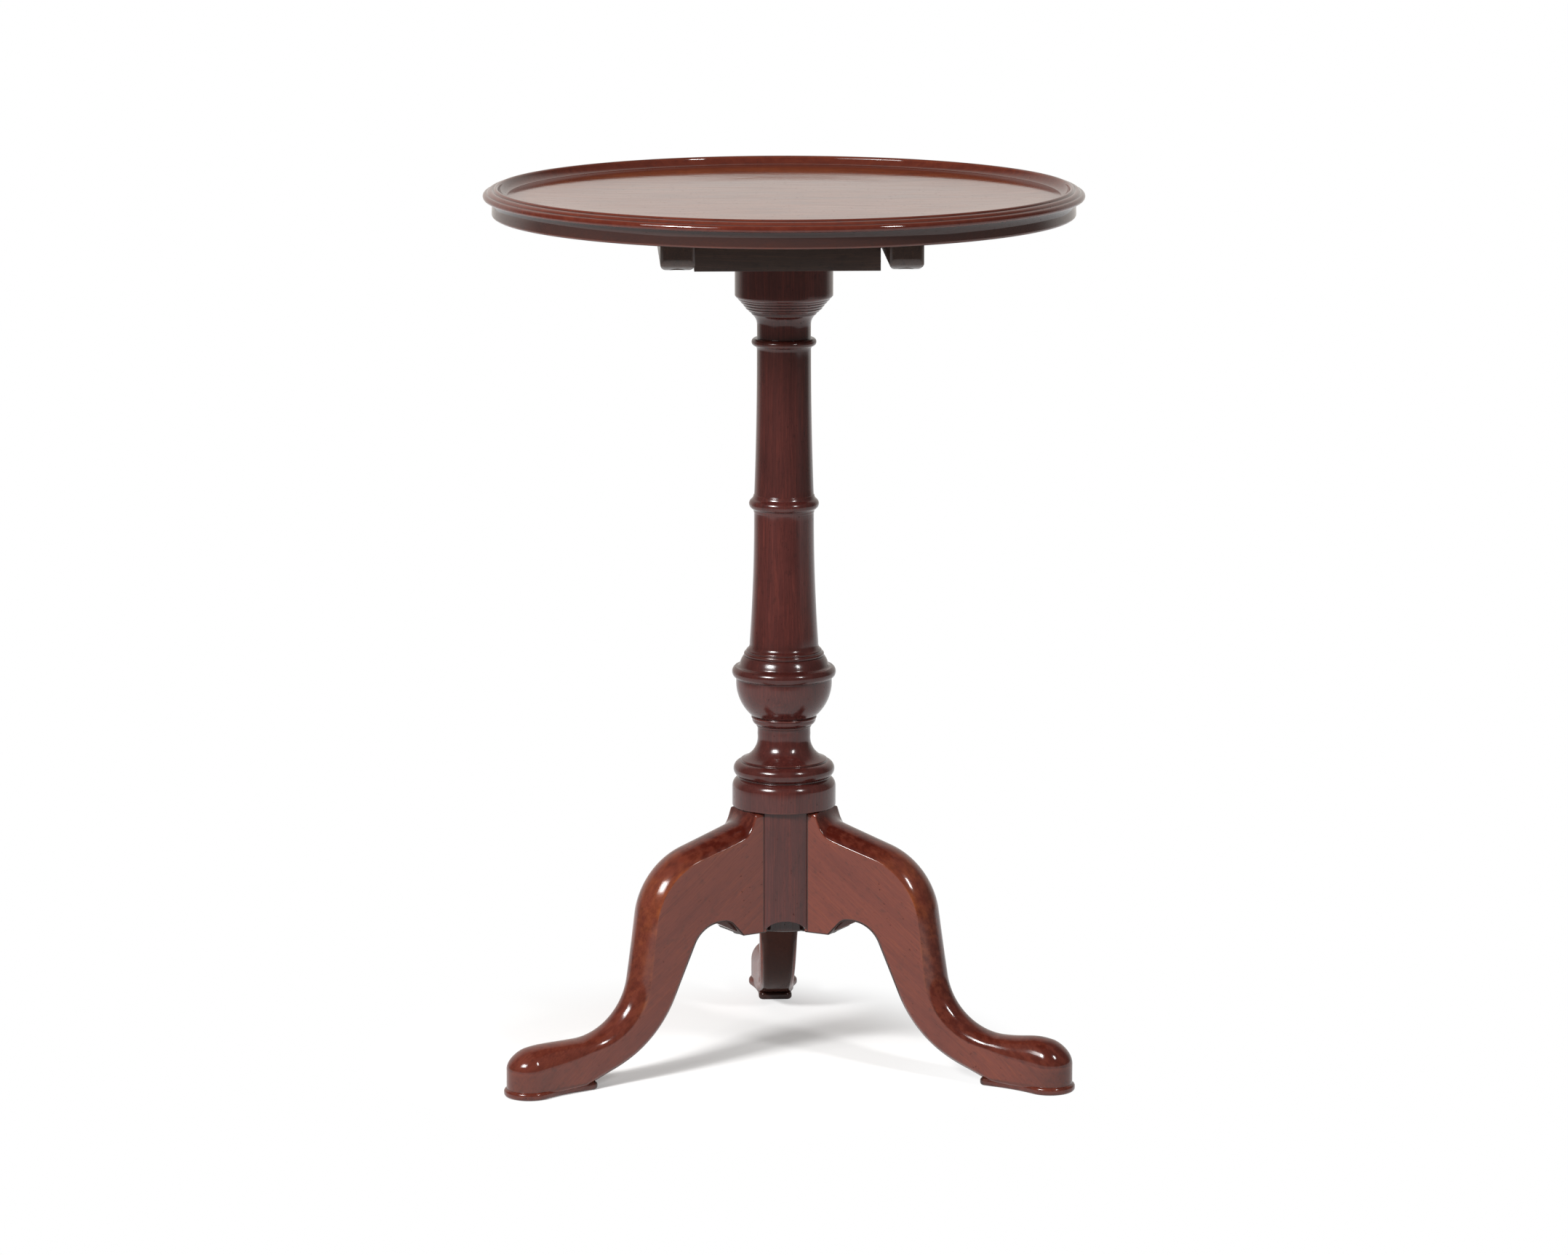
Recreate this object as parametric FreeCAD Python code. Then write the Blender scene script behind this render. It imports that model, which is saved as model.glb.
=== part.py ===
"""Tilt-top candle stand: a dished tray that tips up on a block, over a turned pillar and three cabriole legs.

Millimetres, +Z up. The pieces are drawn about the pillar's axis, with the back leg along +Y, and are then
moved so that the origin lies on the floor under the middle of the whole object.
"""
import FreeCAD
import Part

import math
import os

V = FreeCAD.Vector

# Whole stand
STAND_HEIGHT = 713.3
LEG_NAMES = ("leg_back", "leg_left", "leg_right")

# Tray top
TOP_RADIUS = 240.0
TOP_HEIGHT = 22.8
TRAY_FLOOR = 12.8
COVE_WIDTH = 13.0
LIP_WIDTH = 3.8
LIP_ROUND = 1.9
RIDGE_WIDTH = 5.4
RIDGE_RISE = 2.2
BEAD_WIDTH = 3.2
BEAD_HEIGHT = 5.2
CAVETTO_SETBACK = 7.0
UNDER_ROUND = 2.0

# Bearers under the top
BEARER_LENGTH = 330.0
BEARER_WIDTH = 27.0
BEARER_THICKNESS = 26.0
BEARER_NOSE_LENGTH = 22.0
BEARER_NOSE_HEIGHT = 11.0
BEARER_EDGE_ROUND = 7.0
BEARER_END_ROUND = 3.5
BEARER_SCREW_INSET = 14.0
SCREW_POCKET_RADIUS = 6.0
SCREW_POCKET_DEPTH = 12.0
SCREW_HEAD_RADIUS = 4.2
SCREW_HEAD_HEIGHT = 2.6
SCREW_SHANK_RADIUS = 2.2
SCREW_BITE = 8.0

# Pivot block and its pintles
BLOCK_WIDTH = 147.0
BLOCK_DEPTH = 144.0
BLOCK_THICKNESS = 36.1
BLOCK_TOP_GAP = 0.4
PIVOT_DROP = 13.0
PINTLE_RADIUS = 7.0
PINTLE_LENGTH = 20.0
PINTLE_CLEARANCE = 0.06
PINTLE_END_GAP = 0.8
BEARER_SIDE_GAP = 1.5

# Pillar tenon and its wedge
TENON_RADIUS = 17.0
WEDGE_TOP = 4.0
WEDGE_TIP = 1.6
WEDGE_DEPTH = 26.0
JOINT_CLEARANCE = 0.1

# Pillar members from the hub upwards; the upper shaft takes what is left of the stand's height
HUB_CLEARANCE = 110.0
HUB_HEIGHT = 100.0
HUB_FLAT = 31.6
DRUM_RADIUS = 42.0
DRUM_HEIGHT = 15.0
DRUM_SHOULDER = 8.0
GROOVE_RADIUS = 37.4
GROOVE_WIDTH = 1.0
TORUS_HEIGHT = 12.4
TORUS_TOP_RADIUS = 36.0
SCOTIA_LIP_RADIUS = 34.9
SCOTIA_LIP_HEIGHT = 1.6
SCOTIA_HEIGHT = 20.5
WAIST_RADIUS = 21.5
WAIST_HEIGHT = 6.3
FOOT_FILLET_RADIUS = 22.3
FOOT_FILLET_HEIGHT = 1.6
URN_FOOT_HEIGHT = 5.0
URN_FOOT_RADIUS = 25.8
URN_BEAD_HEIGHT = 2.0
URN_BEAD_RADIUS = 26.1
URN_START_RADIUS = 25.6
URN_HEIGHT = 31.6
URN_RADIUS = 38.6
LIP_FOOT_RADIUS = 39.0
LIP_TOP_RADIUS = 39.6
LIP_HEIGHT = 9.4
CAP_FOOT_RADIUS = 38.6
CAP_COVE_RADIUS = 35.8
CAP_COVE_HEIGHT = 2.3
CAP_RADIUS = 32.7
CAP_HEIGHT = 6.3
LOW_BEAD_FOOT_RADIUS = 31.8
LOW_BEAD_RADIUS = 31.4
LOW_BEAD_HEIGHT = 3.3
HIGH_BEAD_FOOT_RADIUS = 30.4
HIGH_BEAD_RADIUS = 29.6
HIGH_BEAD_HEIGHT = 2.3
SHAFT_COVE_HEIGHT = 4.9
SHAFT_FOOT_RADIUS = 27.8
LOWER_SHAFT_HEIGHT = 106.9
LOWER_SHAFT_TOP_RADIUS = 24.1
RING_COVE_FOOT_RADIUS = 24.5
RING_COVE_RADIUS = 25.2
RING_COVE_HEIGHT = 2.6
RING_TOP_RADIUS = 25.7
RING_HEIGHT = 8.4
RING_FILLET_RADIUS = 24.5
RING_FILLET_HEIGHT = 3.3
UPPER_SHAFT_RADIUS = 24.0
SHAFT_TOP_RADIUS = 21.7
ASTRAGAL_COVE_HEIGHT = 3.2
ASTRAGAL_SEAT_RADIUS = 23.0
ASTRAGAL_TOP_RADIUS = 22.8
ASTRAGAL_HEIGHT = 6.4
NECK_RADIUS = 21.6
NECK_HEIGHT = 10.8
NECK_COVE_HEIGHT = 8.8
NECK_COVE_RADIUS = 26.3
NECK_FILLET_HEIGHT = 1.8
NECK_FILLET_RADIUS = 26.6
BELL_RADIUS = 27.5
BELL_REED_RADIUS = 35.9
BELL_REED_HEIGHT = 8.7
BELL_LIP_HEIGHT = 4.3
COLLAR_RADIUS = 39.4
COLLAR_HEIGHT = 28.0

# Scallop cut in the foot of the hub between two legs
SCALLOP_WIDTH = 39.0
SCALLOP_HEIGHT = 10.3
SCALLOP_DEPTH = 7.0

# Legs: outline points as reach from the pillar's axis and height above the floor
LEG_REACH = 260.4
LEG_THICKNESS = 39.6
THROAT_REACH = 39.0
THROAT_DROP = 8.1
THROAT_SET = 3.5
THROAT_BEND = 13.0
KNEE_REACH = 130.5
KNEE_HEIGHT = 174.1
KNEE_BEND = 64.0
KNEE_THICKNESS = 36.0
ANKLE_REACH = 154.8
ANKLE_BEND = 52.0
ANKLE_THICKNESS = 31.0
INSTEP_HEIGHT = 40.4
INSTEP_THICKNESS = 28.0
TOE_RADIUS = 18.5
CUSP_REACH = 50.2
ARCH_RISE = 13.0
ARCH_SPRING = 12.0
ARCH_BEND = 11.0
ARCH_WIDTH = 24.4
ARCH_WEB_RUN = 24.0
ARCH_WEB_THICKNESS = 26.0
ARCH_WEB_LAP = 1.0
CALF_BEND = 25.0
HEEL_BEND_REACH = 125.7
HEEL_BEND_HEIGHT = 27.4
HEEL_BEND = 97.0
THROAT_ROUND = 3.0
SHOULDER_ROUND = 12.0
KNEE_ROUND = 10.0
ANKLE_ROUND = 12.0
INSTEP_ROUND = 14.0
ARCH_CHAMFER = 1.2
UNDER_CHAMFER = 3.8
SHOE_HEIGHT = 6.5
SHOE_LENGTH = 77.0
SHOE_PROJECTION = 2.1
SHOE_HEEL_WIDTH = 28.0
SHOE_HEEL_ROUND = 4.5
SHOE_HOLLOW = 120.0
SHOE_LEDGE = 11.3
SHOE_EDGE_ROUND = 2.6

# Sliding dovetail between leg and pillar
TONGUE_DEPTH = 14.0
TONGUE_NECK = 14.0
TONGUE_FLARE = 3.0
TONGUE_HEIGHT = 86.0

# Iron plate under the hub, with its nails
PLATE_THICKNESS = 2.0
PLATE_ARM_WIDTH = 18.0
PLATE_ARM_END_GAP = 3.0
PLATE_HUB_RADIUS = 20.0
NAIL_RADIUS = 1.5
NAIL_LENGTH = 18.0
NAIL_HEAD_RADIUS = 3.6
NAIL_HEAD_HEIGHT = 1.5
NAIL_INNER_REACH = 11.0
NAIL_ARM_INSET = 8.0

# Brass catch under the back of the top
CATCH_GAP = 1.8
CATCH_PLATE_WIDTH = 32.0
CATCH_PLATE_LENGTH = 42.0
CATCH_PLATE_THICKNESS = 2.0
CATCH_SCREW_INSET = 3.6
CATCH_SCREW_RADIUS = 1.4
CATCH_SCREW_HEAD_RADIUS = 2.6
CATCH_SCREW_BITE = 8.0
SPRING_ROOM = 5.0
SPRING_THICKNESS = 0.6
SPRING_WIDTH = 7.0
SPRING_GAP = 0.3
KEEPER_LENGTH = 5.0
KEEPER_SET = 2.4
KEEPER_WALL = 3.0
BOLT_WIDTH = 10.0
BOLT_HEIGHT = 6.0
BOLT_LENGTH = 58.0
BOLT_CLEARANCE = 0.2
BOLT_TRAVEL = 9.0
BOLT_TIP_GAP = 2.0
KNOB_RADIUS = 6.0
KNOB_NECK_RADIUS = 2.6
KNOB_NECK_LENGTH = 6.0
KNOB_TAIL_INSET = 5.5

# Strike plate in the back of the block
STRIKE_WIDTH = 28.0
STRIKE_HEIGHT = 16.0
STRIKE_THICKNESS = 1.5
STRIKE_SCREW_INSET = 3.6
STRIKE_SCREW_LENGTH = 10.0
MORTISE_CLEARANCE = 0.4
MORTISE_END_GAP = 3.0

# Cross-sections in each span of a leg
SPAN_STEPS = 6

# Levels and places that follow from the sizes above, in millimetres and degrees
leg_turns = {name: place * 360 / len(LEG_NAMES) for place, name in enumerate(LEG_NAMES)}
leg_half = LEG_THICKNESS / 2
hub_radius = math.hypot(HUB_FLAT, leg_half)
hub_top = HUB_CLEARANCE + HUB_HEIGHT
toe_reach = LEG_REACH - TOE_RADIUS - SHOE_PROJECTION
shoe_heel = LEG_REACH - SHOE_LENGTH
block_back = BLOCK_DEPTH / 2
block_round = PIVOT_DROP - BLOCK_TOP_GAP
pivot_reach = block_round - BLOCK_DEPTH / 2
bearer_inner = BLOCK_WIDTH / 2 + BEARER_SIDE_GAP
axis_shift = V(0, (TOP_RADIUS - LEG_REACH) / 2, 0)

# Turned members: rise, radius reached, and bulge of the line between as a share of its length
lower_members = [
    (HUB_HEIGHT, hub_radius, 0.0),
    (0.0, DRUM_RADIUS, 0.0),
    (DRUM_HEIGHT, DRUM_RADIUS, 0.0),
    (DRUM_SHOULDER, GROOVE_RADIUS, 0.15),
    (GROOVE_WIDTH, GROOVE_RADIUS, 0.0),
    (TORUS_HEIGHT, TORUS_TOP_RADIUS, 0.34),
    (0.0, SCOTIA_LIP_RADIUS, 0.0),
    (SCOTIA_LIP_HEIGHT, SCOTIA_LIP_RADIUS, 0.0),
    (SCOTIA_HEIGHT, WAIST_RADIUS, -0.19),
    (WAIST_HEIGHT, WAIST_RADIUS, -0.02),
    (0.0, FOOT_FILLET_RADIUS, 0.0),
    (FOOT_FILLET_HEIGHT, FOOT_FILLET_RADIUS, 0.0),
    (URN_FOOT_HEIGHT, URN_FOOT_RADIUS, 0.18),
    (URN_BEAD_HEIGHT, URN_BEAD_RADIUS, 0.3),
    (0.0, URN_START_RADIUS, 0.0),
    (URN_HEIGHT, URN_RADIUS, 0.125),
    (0.0, LIP_FOOT_RADIUS, 0.0),
    (LIP_HEIGHT, LIP_TOP_RADIUS, 0.29),
    (0.0, CAP_FOOT_RADIUS, 0.0),
    (CAP_COVE_HEIGHT, CAP_COVE_RADIUS, -0.2),
    (CAP_HEIGHT, CAP_RADIUS, 0.05),
    (0.0, LOW_BEAD_FOOT_RADIUS, 0.0),
    (LOW_BEAD_HEIGHT, LOW_BEAD_RADIUS, 0.25),
    (0.0, HIGH_BEAD_FOOT_RADIUS, 0.0),
    (HIGH_BEAD_HEIGHT, HIGH_BEAD_RADIUS, 0.25),
    (SHAFT_COVE_HEIGHT, SHAFT_FOOT_RADIUS, -0.12),
    (LOWER_SHAFT_HEIGHT, LOWER_SHAFT_TOP_RADIUS, -0.009),
    (0.0, RING_COVE_FOOT_RADIUS, 0.0),
    (RING_COVE_HEIGHT, RING_COVE_RADIUS, -0.1),
    (RING_HEIGHT, RING_TOP_RADIUS, 0.32),
    (RING_FILLET_HEIGHT, RING_FILLET_RADIUS, -0.08),
    (0.0, UPPER_SHAFT_RADIUS, 0.0),
]
upper_members = [
    (ASTRAGAL_COVE_HEIGHT, ASTRAGAL_SEAT_RADIUS, -0.1),
    (ASTRAGAL_HEIGHT, ASTRAGAL_TOP_RADIUS, 0.48),
    (0.0, NECK_RADIUS, 0.0),
    (NECK_HEIGHT, NECK_RADIUS, 0.0),
    (NECK_COVE_HEIGHT, NECK_COVE_RADIUS, -0.12),
    (NECK_FILLET_HEIGHT, NECK_FILLET_RADIUS, 0.0),
    (0.0, BELL_RADIUS, 0.0),
    (BELL_REED_HEIGHT, BELL_REED_RADIUS, 0.02),
    (BELL_LIP_HEIGHT, COLLAR_RADIUS, 0.08),
    (COLLAR_HEIGHT, COLLAR_RADIUS, 0.0),
]
pillar_top = STAND_HEIGHT - TOP_HEIGHT - BLOCK_TOP_GAP - BLOCK_THICKNESS
turned_rise = sum(rise for rise, radius, bulge in lower_members + upper_members)
upper_shaft = (pillar_top - HUB_CLEARANCE - turned_rise, SHAFT_TOP_RADIUS, -0.005)
pillar_members = lower_members + [upper_shaft] + upper_members
block_top = pillar_top + BLOCK_THICKNESS
top_under = block_top + BLOCK_TOP_GAP
pivot_height = top_under - PIVOT_DROP
bearer_under = top_under - BEARER_THICKNESS
bolt_top = top_under - CATCH_PLATE_THICKNESS - SPRING_ROOM
bolt_under = bolt_top - BOLT_HEIGHT
catch_front = block_back + CATCH_GAP


def box(x_span, y_span, z_span):
    """Return a box between the low and high value of each axis."""
    size = [high - low for low, high in (x_span, y_span, z_span)]
    return Part.makeBox(size[0], size[1], size[2], V(x_span[0], y_span[0], z_span[0]))


def prism(points, direction):
    """Return the solid swept by a flat polygon along a vector."""
    outline = Part.makePolygon(points + [points[0]])
    return Part.Face(outline).extrude(direction)


def bowed(start, end, bulge):
    """Return a line from start to end, or an arc whose rise is the bulge times the chord, to the right."""
    if bulge == 0:
        return Part.LineSegment(start, end).toShape()
    chord = end - start
    right = V(chord.z, 0, -chord.x)
    return Part.Arc(start, (start + end) / 2 + right * bulge, end).toShape()


def revolved(start, members):
    """Turn a solid about Z from a start radius and height and a list of rise, radius and bulge."""
    point = V(start[0], 0, start[1])
    edges = [Part.LineSegment(V(0, 0, start[1]), point).toShape()]
    for rise, radius, bulge in members:
        reached = V(radius, 0, point.z + rise)
        edges.append(bowed(point, reached, bulge))
        point = reached
    edges.append(Part.LineSegment(point, V(0, 0, point.z)).toShape())
    edges.append(Part.LineSegment(V(0, 0, point.z), V(0, 0, start[1])).toShape())
    return Part.Face(Part.Wire(edges)).revolve(V(0, 0, 0), V(0, 0, 1), 360)


def rounded_line(points, radii):
    """Return edges along a broken line: a straight run, a tangent arc at an inner corner, and so on."""
    edges = []
    start = points[0]
    for corner, after, radius in zip(points[1:-1], points[2:], radii):
        into = (corner - start).normalize()
        out = (after - corner).normalize()
        half_turn = into.getAngle(out) / 2
        reach = radius * math.tan(half_turn)
        inward = (out - into).normalize()
        first = corner - into * reach
        middle = corner + inward * (radius / math.cos(half_turn) - radius)
        last = corner + out * reach
        edges.append(Part.LineSegment(start, first).toShape())
        edges.append(Part.Arc(first, middle, last).toShape())
        start = last
    edges.append(Part.LineSegment(start, points[-1]).toShape())
    return edges


def screw(head_radius, head_height, shank_radius, length):
    """Return a countersunk screw that points up +Z, with its head's face at the origin."""
    head = Part.makeCone(head_radius, shank_radius, head_height)
    shank = Part.makeCylinder(shank_radius, length - 2 * shank_radius)
    point = Part.makeCone(shank_radius, 0, 2 * shank_radius, V(0, 0, length - 2 * shank_radius))
    return head.fuse([shank, point]).removeSplitter()


def dovetail(clearance):
    """Return the tongue of a leg along +Y, or with a clearance the socket for it."""
    neck = TONGUE_NECK / 2 + clearance
    root = neck + TONGUE_FLARE
    inner = HUB_FLAT - TONGUE_DEPTH - clearance
    base = HUB_CLEARANCE
    points = [V(-neck, HUB_FLAT, base), V(neck, HUB_FLAT, base), V(root, inner, base), V(-root, inner, base)]
    return prism(points, V(0, 0, TONGUE_HEIGHT + clearance))


def leg_section(crest, under, half, rounding, chamfer):
    """Return one cross-section of a leg: flat sides, a rounded top and a chamfered underside."""
    up = (crest - under).normalize()
    side = V(1, 0, 0)
    shoulder = crest - up * rounding
    corners = [
        shoulder - side * half,
        under - side * half + up * chamfer,
        under - side * (half - chamfer),
        under + side * (half - chamfer),
        under + side * half + up * chamfer,
        shoulder + side * half,
    ]
    edges = [Part.LineSegment(a, b).toShape() for a, b in zip(corners, corners[1:])]
    edges.append(Part.Arc(corners[-1], crest, corners[0]).toShape())
    return Part.Wire(edges)


def leg_span(crest_edges, under_edges, start, end):
    """Return the cross-sections along one span, with sizes that run evenly from start to end."""
    crest_points = Part.Wire(crest_edges).discretize(Number=SPAN_STEPS + 1)
    under_points = Part.Wire(under_edges).discretize(Number=SPAN_STEPS + 1)
    sections = []
    for step, (crest, under) in enumerate(zip(crest_points, under_points)):
        share = step / SPAN_STEPS
        sizes = [low + (high - low) * share for low, high in zip(start, end)]
        sections.append(leg_section(crest, under, *sizes))
    return sections


def shoe_side(side):
    """Return one side of the shoe's plan, left -1 or right +1: heel corner, straight run and hollow."""
    radius = TOE_RADIUS + SHOE_PROJECTION
    half = SHOE_HEEL_WIDTH / 2
    toe = V(0, toe_reach, 0)
    hollow_out = half + SHOE_HOLLOW
    hollow = V(side * hollow_out, toe_reach - math.sqrt((radius + SHOE_HOLLOW) ** 2 - hollow_out ** 2), 0)
    touch = toe + (hollow - toe).normalize() * radius
    draw_in = V(side * half, hollow.y, 0)
    halfway = hollow + ((touch + draw_in) / 2 - hollow).normalize() * SHOE_HOLLOW
    corner = V(side * (half - SHOE_HEEL_ROUND), shoe_heel + SHOE_HEEL_ROUND, 0)
    lean = SHOE_HEEL_ROUND * math.sqrt(0.5)
    first = corner - V(0, SHOE_HEEL_ROUND, 0)
    last = corner + V(side * SHOE_HEEL_ROUND, 0, 0)
    return [
        Part.Arc(first, corner + V(side * lean, -lean, 0), last).toShape(),
        Part.LineSegment(last, draw_in).toShape(),
        Part.Arc(draw_in, halfway, touch).toShape(),
    ]


def make_shoe():
    """Return the moulded shoe: a round toe, sides drawn in along a hollow, and a heel with round corners."""
    left = shoe_side(-1)
    right = shoe_side(1)
    heels = [side[0].Vertexes[0].Point for side in (left, right)]
    touches = [side[-1].Vertexes[-1].Point for side in (left, right)]
    heel_line = Part.LineSegment(heels[0], heels[1]).toShape()
    toe_round = Part.Arc(touches[0], V(0, LEG_REACH, 0), touches[1]).toShape()
    outline = Part.Wire(Part.sortEdges(left + right + [heel_line, toe_round])[0])
    slab = Part.Face(outline).extrude(V(0, 0, SHOE_HEIGHT))
    rims = [edge for edge in slab.Edges if abs(edge.BoundBox.ZMax - edge.BoundBox.ZMin) < SHOE_HEIGHT / 2]
    return slab.makeFillet(SHOE_EDGE_ROUND, rims)


def make_toe(base, chamfer):
    """Return the round end of the foot: half of the last cross-section, turned about its upright axis."""
    shoulder = INSTEP_HEIGHT - TOE_RADIUS
    knuckle = TOE_RADIUS * math.sqrt(0.5)
    corners = [
        V(0, toe_reach, base),
        V(TOE_RADIUS - chamfer, toe_reach, base),
        V(TOE_RADIUS, toe_reach, base + chamfer),
        V(TOE_RADIUS, toe_reach, shoulder),
    ]
    crown = V(0, toe_reach, INSTEP_HEIGHT)
    edges = [Part.LineSegment(a, b).toShape() for a, b in zip(corners, corners[1:])]
    edges.append(Part.Arc(corners[-1], V(knuckle, toe_reach, shoulder + knuckle), crown).toShape())
    edges.append(Part.LineSegment(crown, corners[0]).toShape())
    return Part.Face(Part.Wire(edges)).revolve(corners[0], V(0, 0, 1), 180)


def make_web():
    """Return the web in the middle of a leg's arch, which is scalloped from both faces of the leg."""
    half = ARCH_WEB_THICKNESS / 2
    arch_height = HUB_CLEARANCE + ARCH_RISE
    near = CUSP_REACH - ARCH_WEB_LAP
    far = CUSP_REACH + ARCH_WEB_RUN + 2 * ARCH_WEB_LAP
    top = arch_height + ARCH_RISE / 2
    points = [
        V(-half, near, HUB_CLEARANCE + ARCH_WEB_LAP / 2),
        V(-half, far, arch_height + ARCH_WEB_LAP),
        V(-half, far, top),
        V(-half, near, top),
    ]
    return prism(points, V(ARCH_WEB_THICKNESS, 0, 0))


def make_leg():
    """Return a cabriole leg along +Y, with its dovetail tongue, pad foot and shoe."""
    toe_base = SHOE_HEIGHT / 2
    toe_chamfer = toe_base / 4
    throat = V(0, THROAT_REACH, hub_top)
    cusp = V(0, CUSP_REACH, HUB_CLEARANCE)
    arch_height = HUB_CLEARANCE + ARCH_RISE
    crest = rounded_line(
        [
            throat,
            throat + V(0, THROAT_SET, -THROAT_DROP),
            V(0, KNEE_REACH, KNEE_HEIGHT),
            V(0, ANKLE_REACH, INSTEP_HEIGHT),
            V(0, toe_reach, INSTEP_HEIGHT),
        ],
        [THROAT_BEND, KNEE_BEND, ANKLE_BEND],
    )
    under = rounded_line(
        [
            cusp,
            V(0, CUSP_REACH + ARCH_SPRING, arch_height),
            V(0, CUSP_REACH + ARCH_SPRING + ARCH_WIDTH, arch_height),
            V(0, HEEL_BEND_REACH, HEEL_BEND_HEIGHT),
            V(0, shoe_heel + SHOE_LEDGE, toe_base),
        ],
        [ARCH_BEND, CALF_BEND, HEEL_BEND],
    )
    shoe_line = Part.LineSegment(under[-1].Vertexes[-1].Point, V(0, toe_reach, toe_base)).toShape()
    neck_line = Part.LineSegment(V(0, THROAT_REACH, HUB_CLEARANCE), cusp).toShape()

    at_throat = (leg_half, THROAT_ROUND, ARCH_CHAMFER)
    at_shoulder = (leg_half, SHOULDER_ROUND, ARCH_CHAMFER)
    at_knee = (KNEE_THICKNESS / 2, KNEE_ROUND, UNDER_CHAMFER)
    at_ankle = (ANKLE_THICKNESS / 2, ANKLE_ROUND, UNDER_CHAMFER)
    at_instep = (INSTEP_THICKNESS / 2, INSTEP_ROUND, UNDER_CHAMFER)
    at_toe = (TOE_RADIUS, TOE_RADIUS, toe_chamfer)

    sections = leg_span(crest[2:4], under[0:4], at_shoulder, at_knee)
    sections += leg_span(crest[4:5], under[4:5], at_knee, at_ankle)[1:]
    sections += leg_span(crest[5:6], under[5:6], at_ankle, at_instep)[1:]
    sections += leg_span(crest[6:7], under[6:7] + [shoe_line], at_instep, at_toe)[1:]
    shank = Part.makeLoft(sections, True, False)
    neck = Part.makeLoft(leg_span(crest[0:2], [neck_line], at_throat, at_shoulder), True, True)
    root = box((-leg_half, leg_half), (HUB_FLAT, THROAT_REACH), (HUB_CLEARANCE, hub_top))
    body = shank.fuse([neck, root, make_toe(toe_base, toe_chamfer), make_web()])
    return body.fuse(dovetail(0.0)).fuse(make_shoe()).removeSplitter()


def leg_turned(shape, turn):
    """Return a copy of a shape on the back leg, turned to another leg."""
    copy = shape.copy()
    copy.rotate(V(0, 0, 0), V(0, 0, 1), turn)
    return copy


def nail_places():
    """Return the places of the plate's nails on the back leg: one in the pillar's core and one in the leg."""
    arm_reach = CUSP_REACH - PLATE_ARM_END_GAP - NAIL_ARM_INSET
    return [V(0, NAIL_INNER_REACH, HUB_CLEARANCE), V(0, arm_reach, HUB_CLEARANCE)]


def nail_holes(clearance):
    """Return the shanks of all nails, widened by a clearance."""
    shanks = [Part.makeCylinder(NAIL_RADIUS + clearance, NAIL_LENGTH, place) for place in nail_places()]
    return [leg_turned(shank, turn) for turn in leg_turns.values() for shank in shanks]


def make_wedge(clearance):
    """Return the tenon's wedge along X, or with a clearance the slot for it."""
    tip = WEDGE_TIP / 2 + clearance
    top = WEDGE_TOP / 2 + clearance
    low = block_top - WEDGE_DEPTH - clearance
    half = TENON_RADIUS + clearance
    points = [V(-half, -tip, low), V(-half, tip, low), V(-half, top, block_top), V(-half, -top, block_top)]
    slab = prism(points, V(2 * half, 0, 0))
    return slab.common(Part.makeCylinder(half, BLOCK_THICKNESS, V(0, 0, pillar_top)))


def make_pillar():
    """Return the pillar with its tenon, leg flats, dovetail sockets and scallops."""
    tenon = (BLOCK_THICKNESS, TENON_RADIUS, 0.0)
    pillar = revolved((hub_radius, HUB_CLEARANCE), pillar_members + [(0.0, TENON_RADIUS, 0.0), tenon])
    flat = box((-hub_radius, hub_radius), (HUB_FLAT, 2 * hub_radius), (HUB_CLEARANCE, hub_top))
    scallop_radius = (SCALLOP_WIDTH ** 2 / 4 + SCALLOP_HEIGHT ** 2) / (2 * SCALLOP_HEIGHT)
    scallop_centre = V(0, SCALLOP_DEPTH - hub_radius, HUB_CLEARANCE + SCALLOP_HEIGHT - scallop_radius)
    scallop = Part.makeCylinder(scallop_radius, hub_radius, scallop_centre, V(0, -1, 0))
    seat = (flat, dovetail(JOINT_CLEARANCE), scallop)
    cuts = [leg_turned(shape, turn) for turn in leg_turns.values() for shape in seat]
    cuts += nail_holes(JOINT_CLEARANCE)
    cuts.append(make_wedge(JOINT_CLEARANCE))
    return pillar.cut(cuts)


def make_block():
    """Return the pivot block, with a rounded front edge about the pivot and a pintle at each end."""
    half = BLOCK_WIDTH / 2
    front = -BLOCK_DEPTH / 2
    pivot = V(-half, pivot_reach, pivot_height)
    lean = block_round * math.sqrt(0.5)
    nose = V(-half, front, pivot_height)
    crown = pivot + V(0, 0, block_round)
    edges = [
        Part.LineSegment(V(-half, front, pillar_top), nose).toShape(),
        Part.Arc(nose, pivot + V(0, -lean, lean), crown).toShape(),
        Part.LineSegment(crown, V(-half, block_back, block_top)).toShape(),
        Part.LineSegment(V(-half, block_back, block_top), V(-half, block_back, pillar_top)).toShape(),
        Part.LineSegment(V(-half, block_back, pillar_top), V(-half, front, pillar_top)).toShape(),
    ]
    body = Part.Face(Part.Wire(edges)).extrude(V(BLOCK_WIDTH, 0, 0))
    pintles = Part.makeCylinder(
        PINTLE_RADIUS, BLOCK_WIDTH + 2 * PINTLE_LENGTH, pivot - V(PINTLE_LENGTH, 0, 0), V(1, 0, 0)
    )
    tenon_hole = Part.makeCylinder(TENON_RADIUS + JOINT_CLEARANCE, BLOCK_THICKNESS, V(0, 0, pillar_top))
    mortise_depth = BOLT_TRAVEL - BOLT_TIP_GAP + MORTISE_END_GAP
    recess = strike_blank(JOINT_CLEARANCE)
    cuts = [tenon_hole, strike_hole(mortise_depth), recess] + strike_screw_set(JOINT_CLEARANCE)
    return body.fuse(pintles).removeSplitter().cut(cuts)


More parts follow.
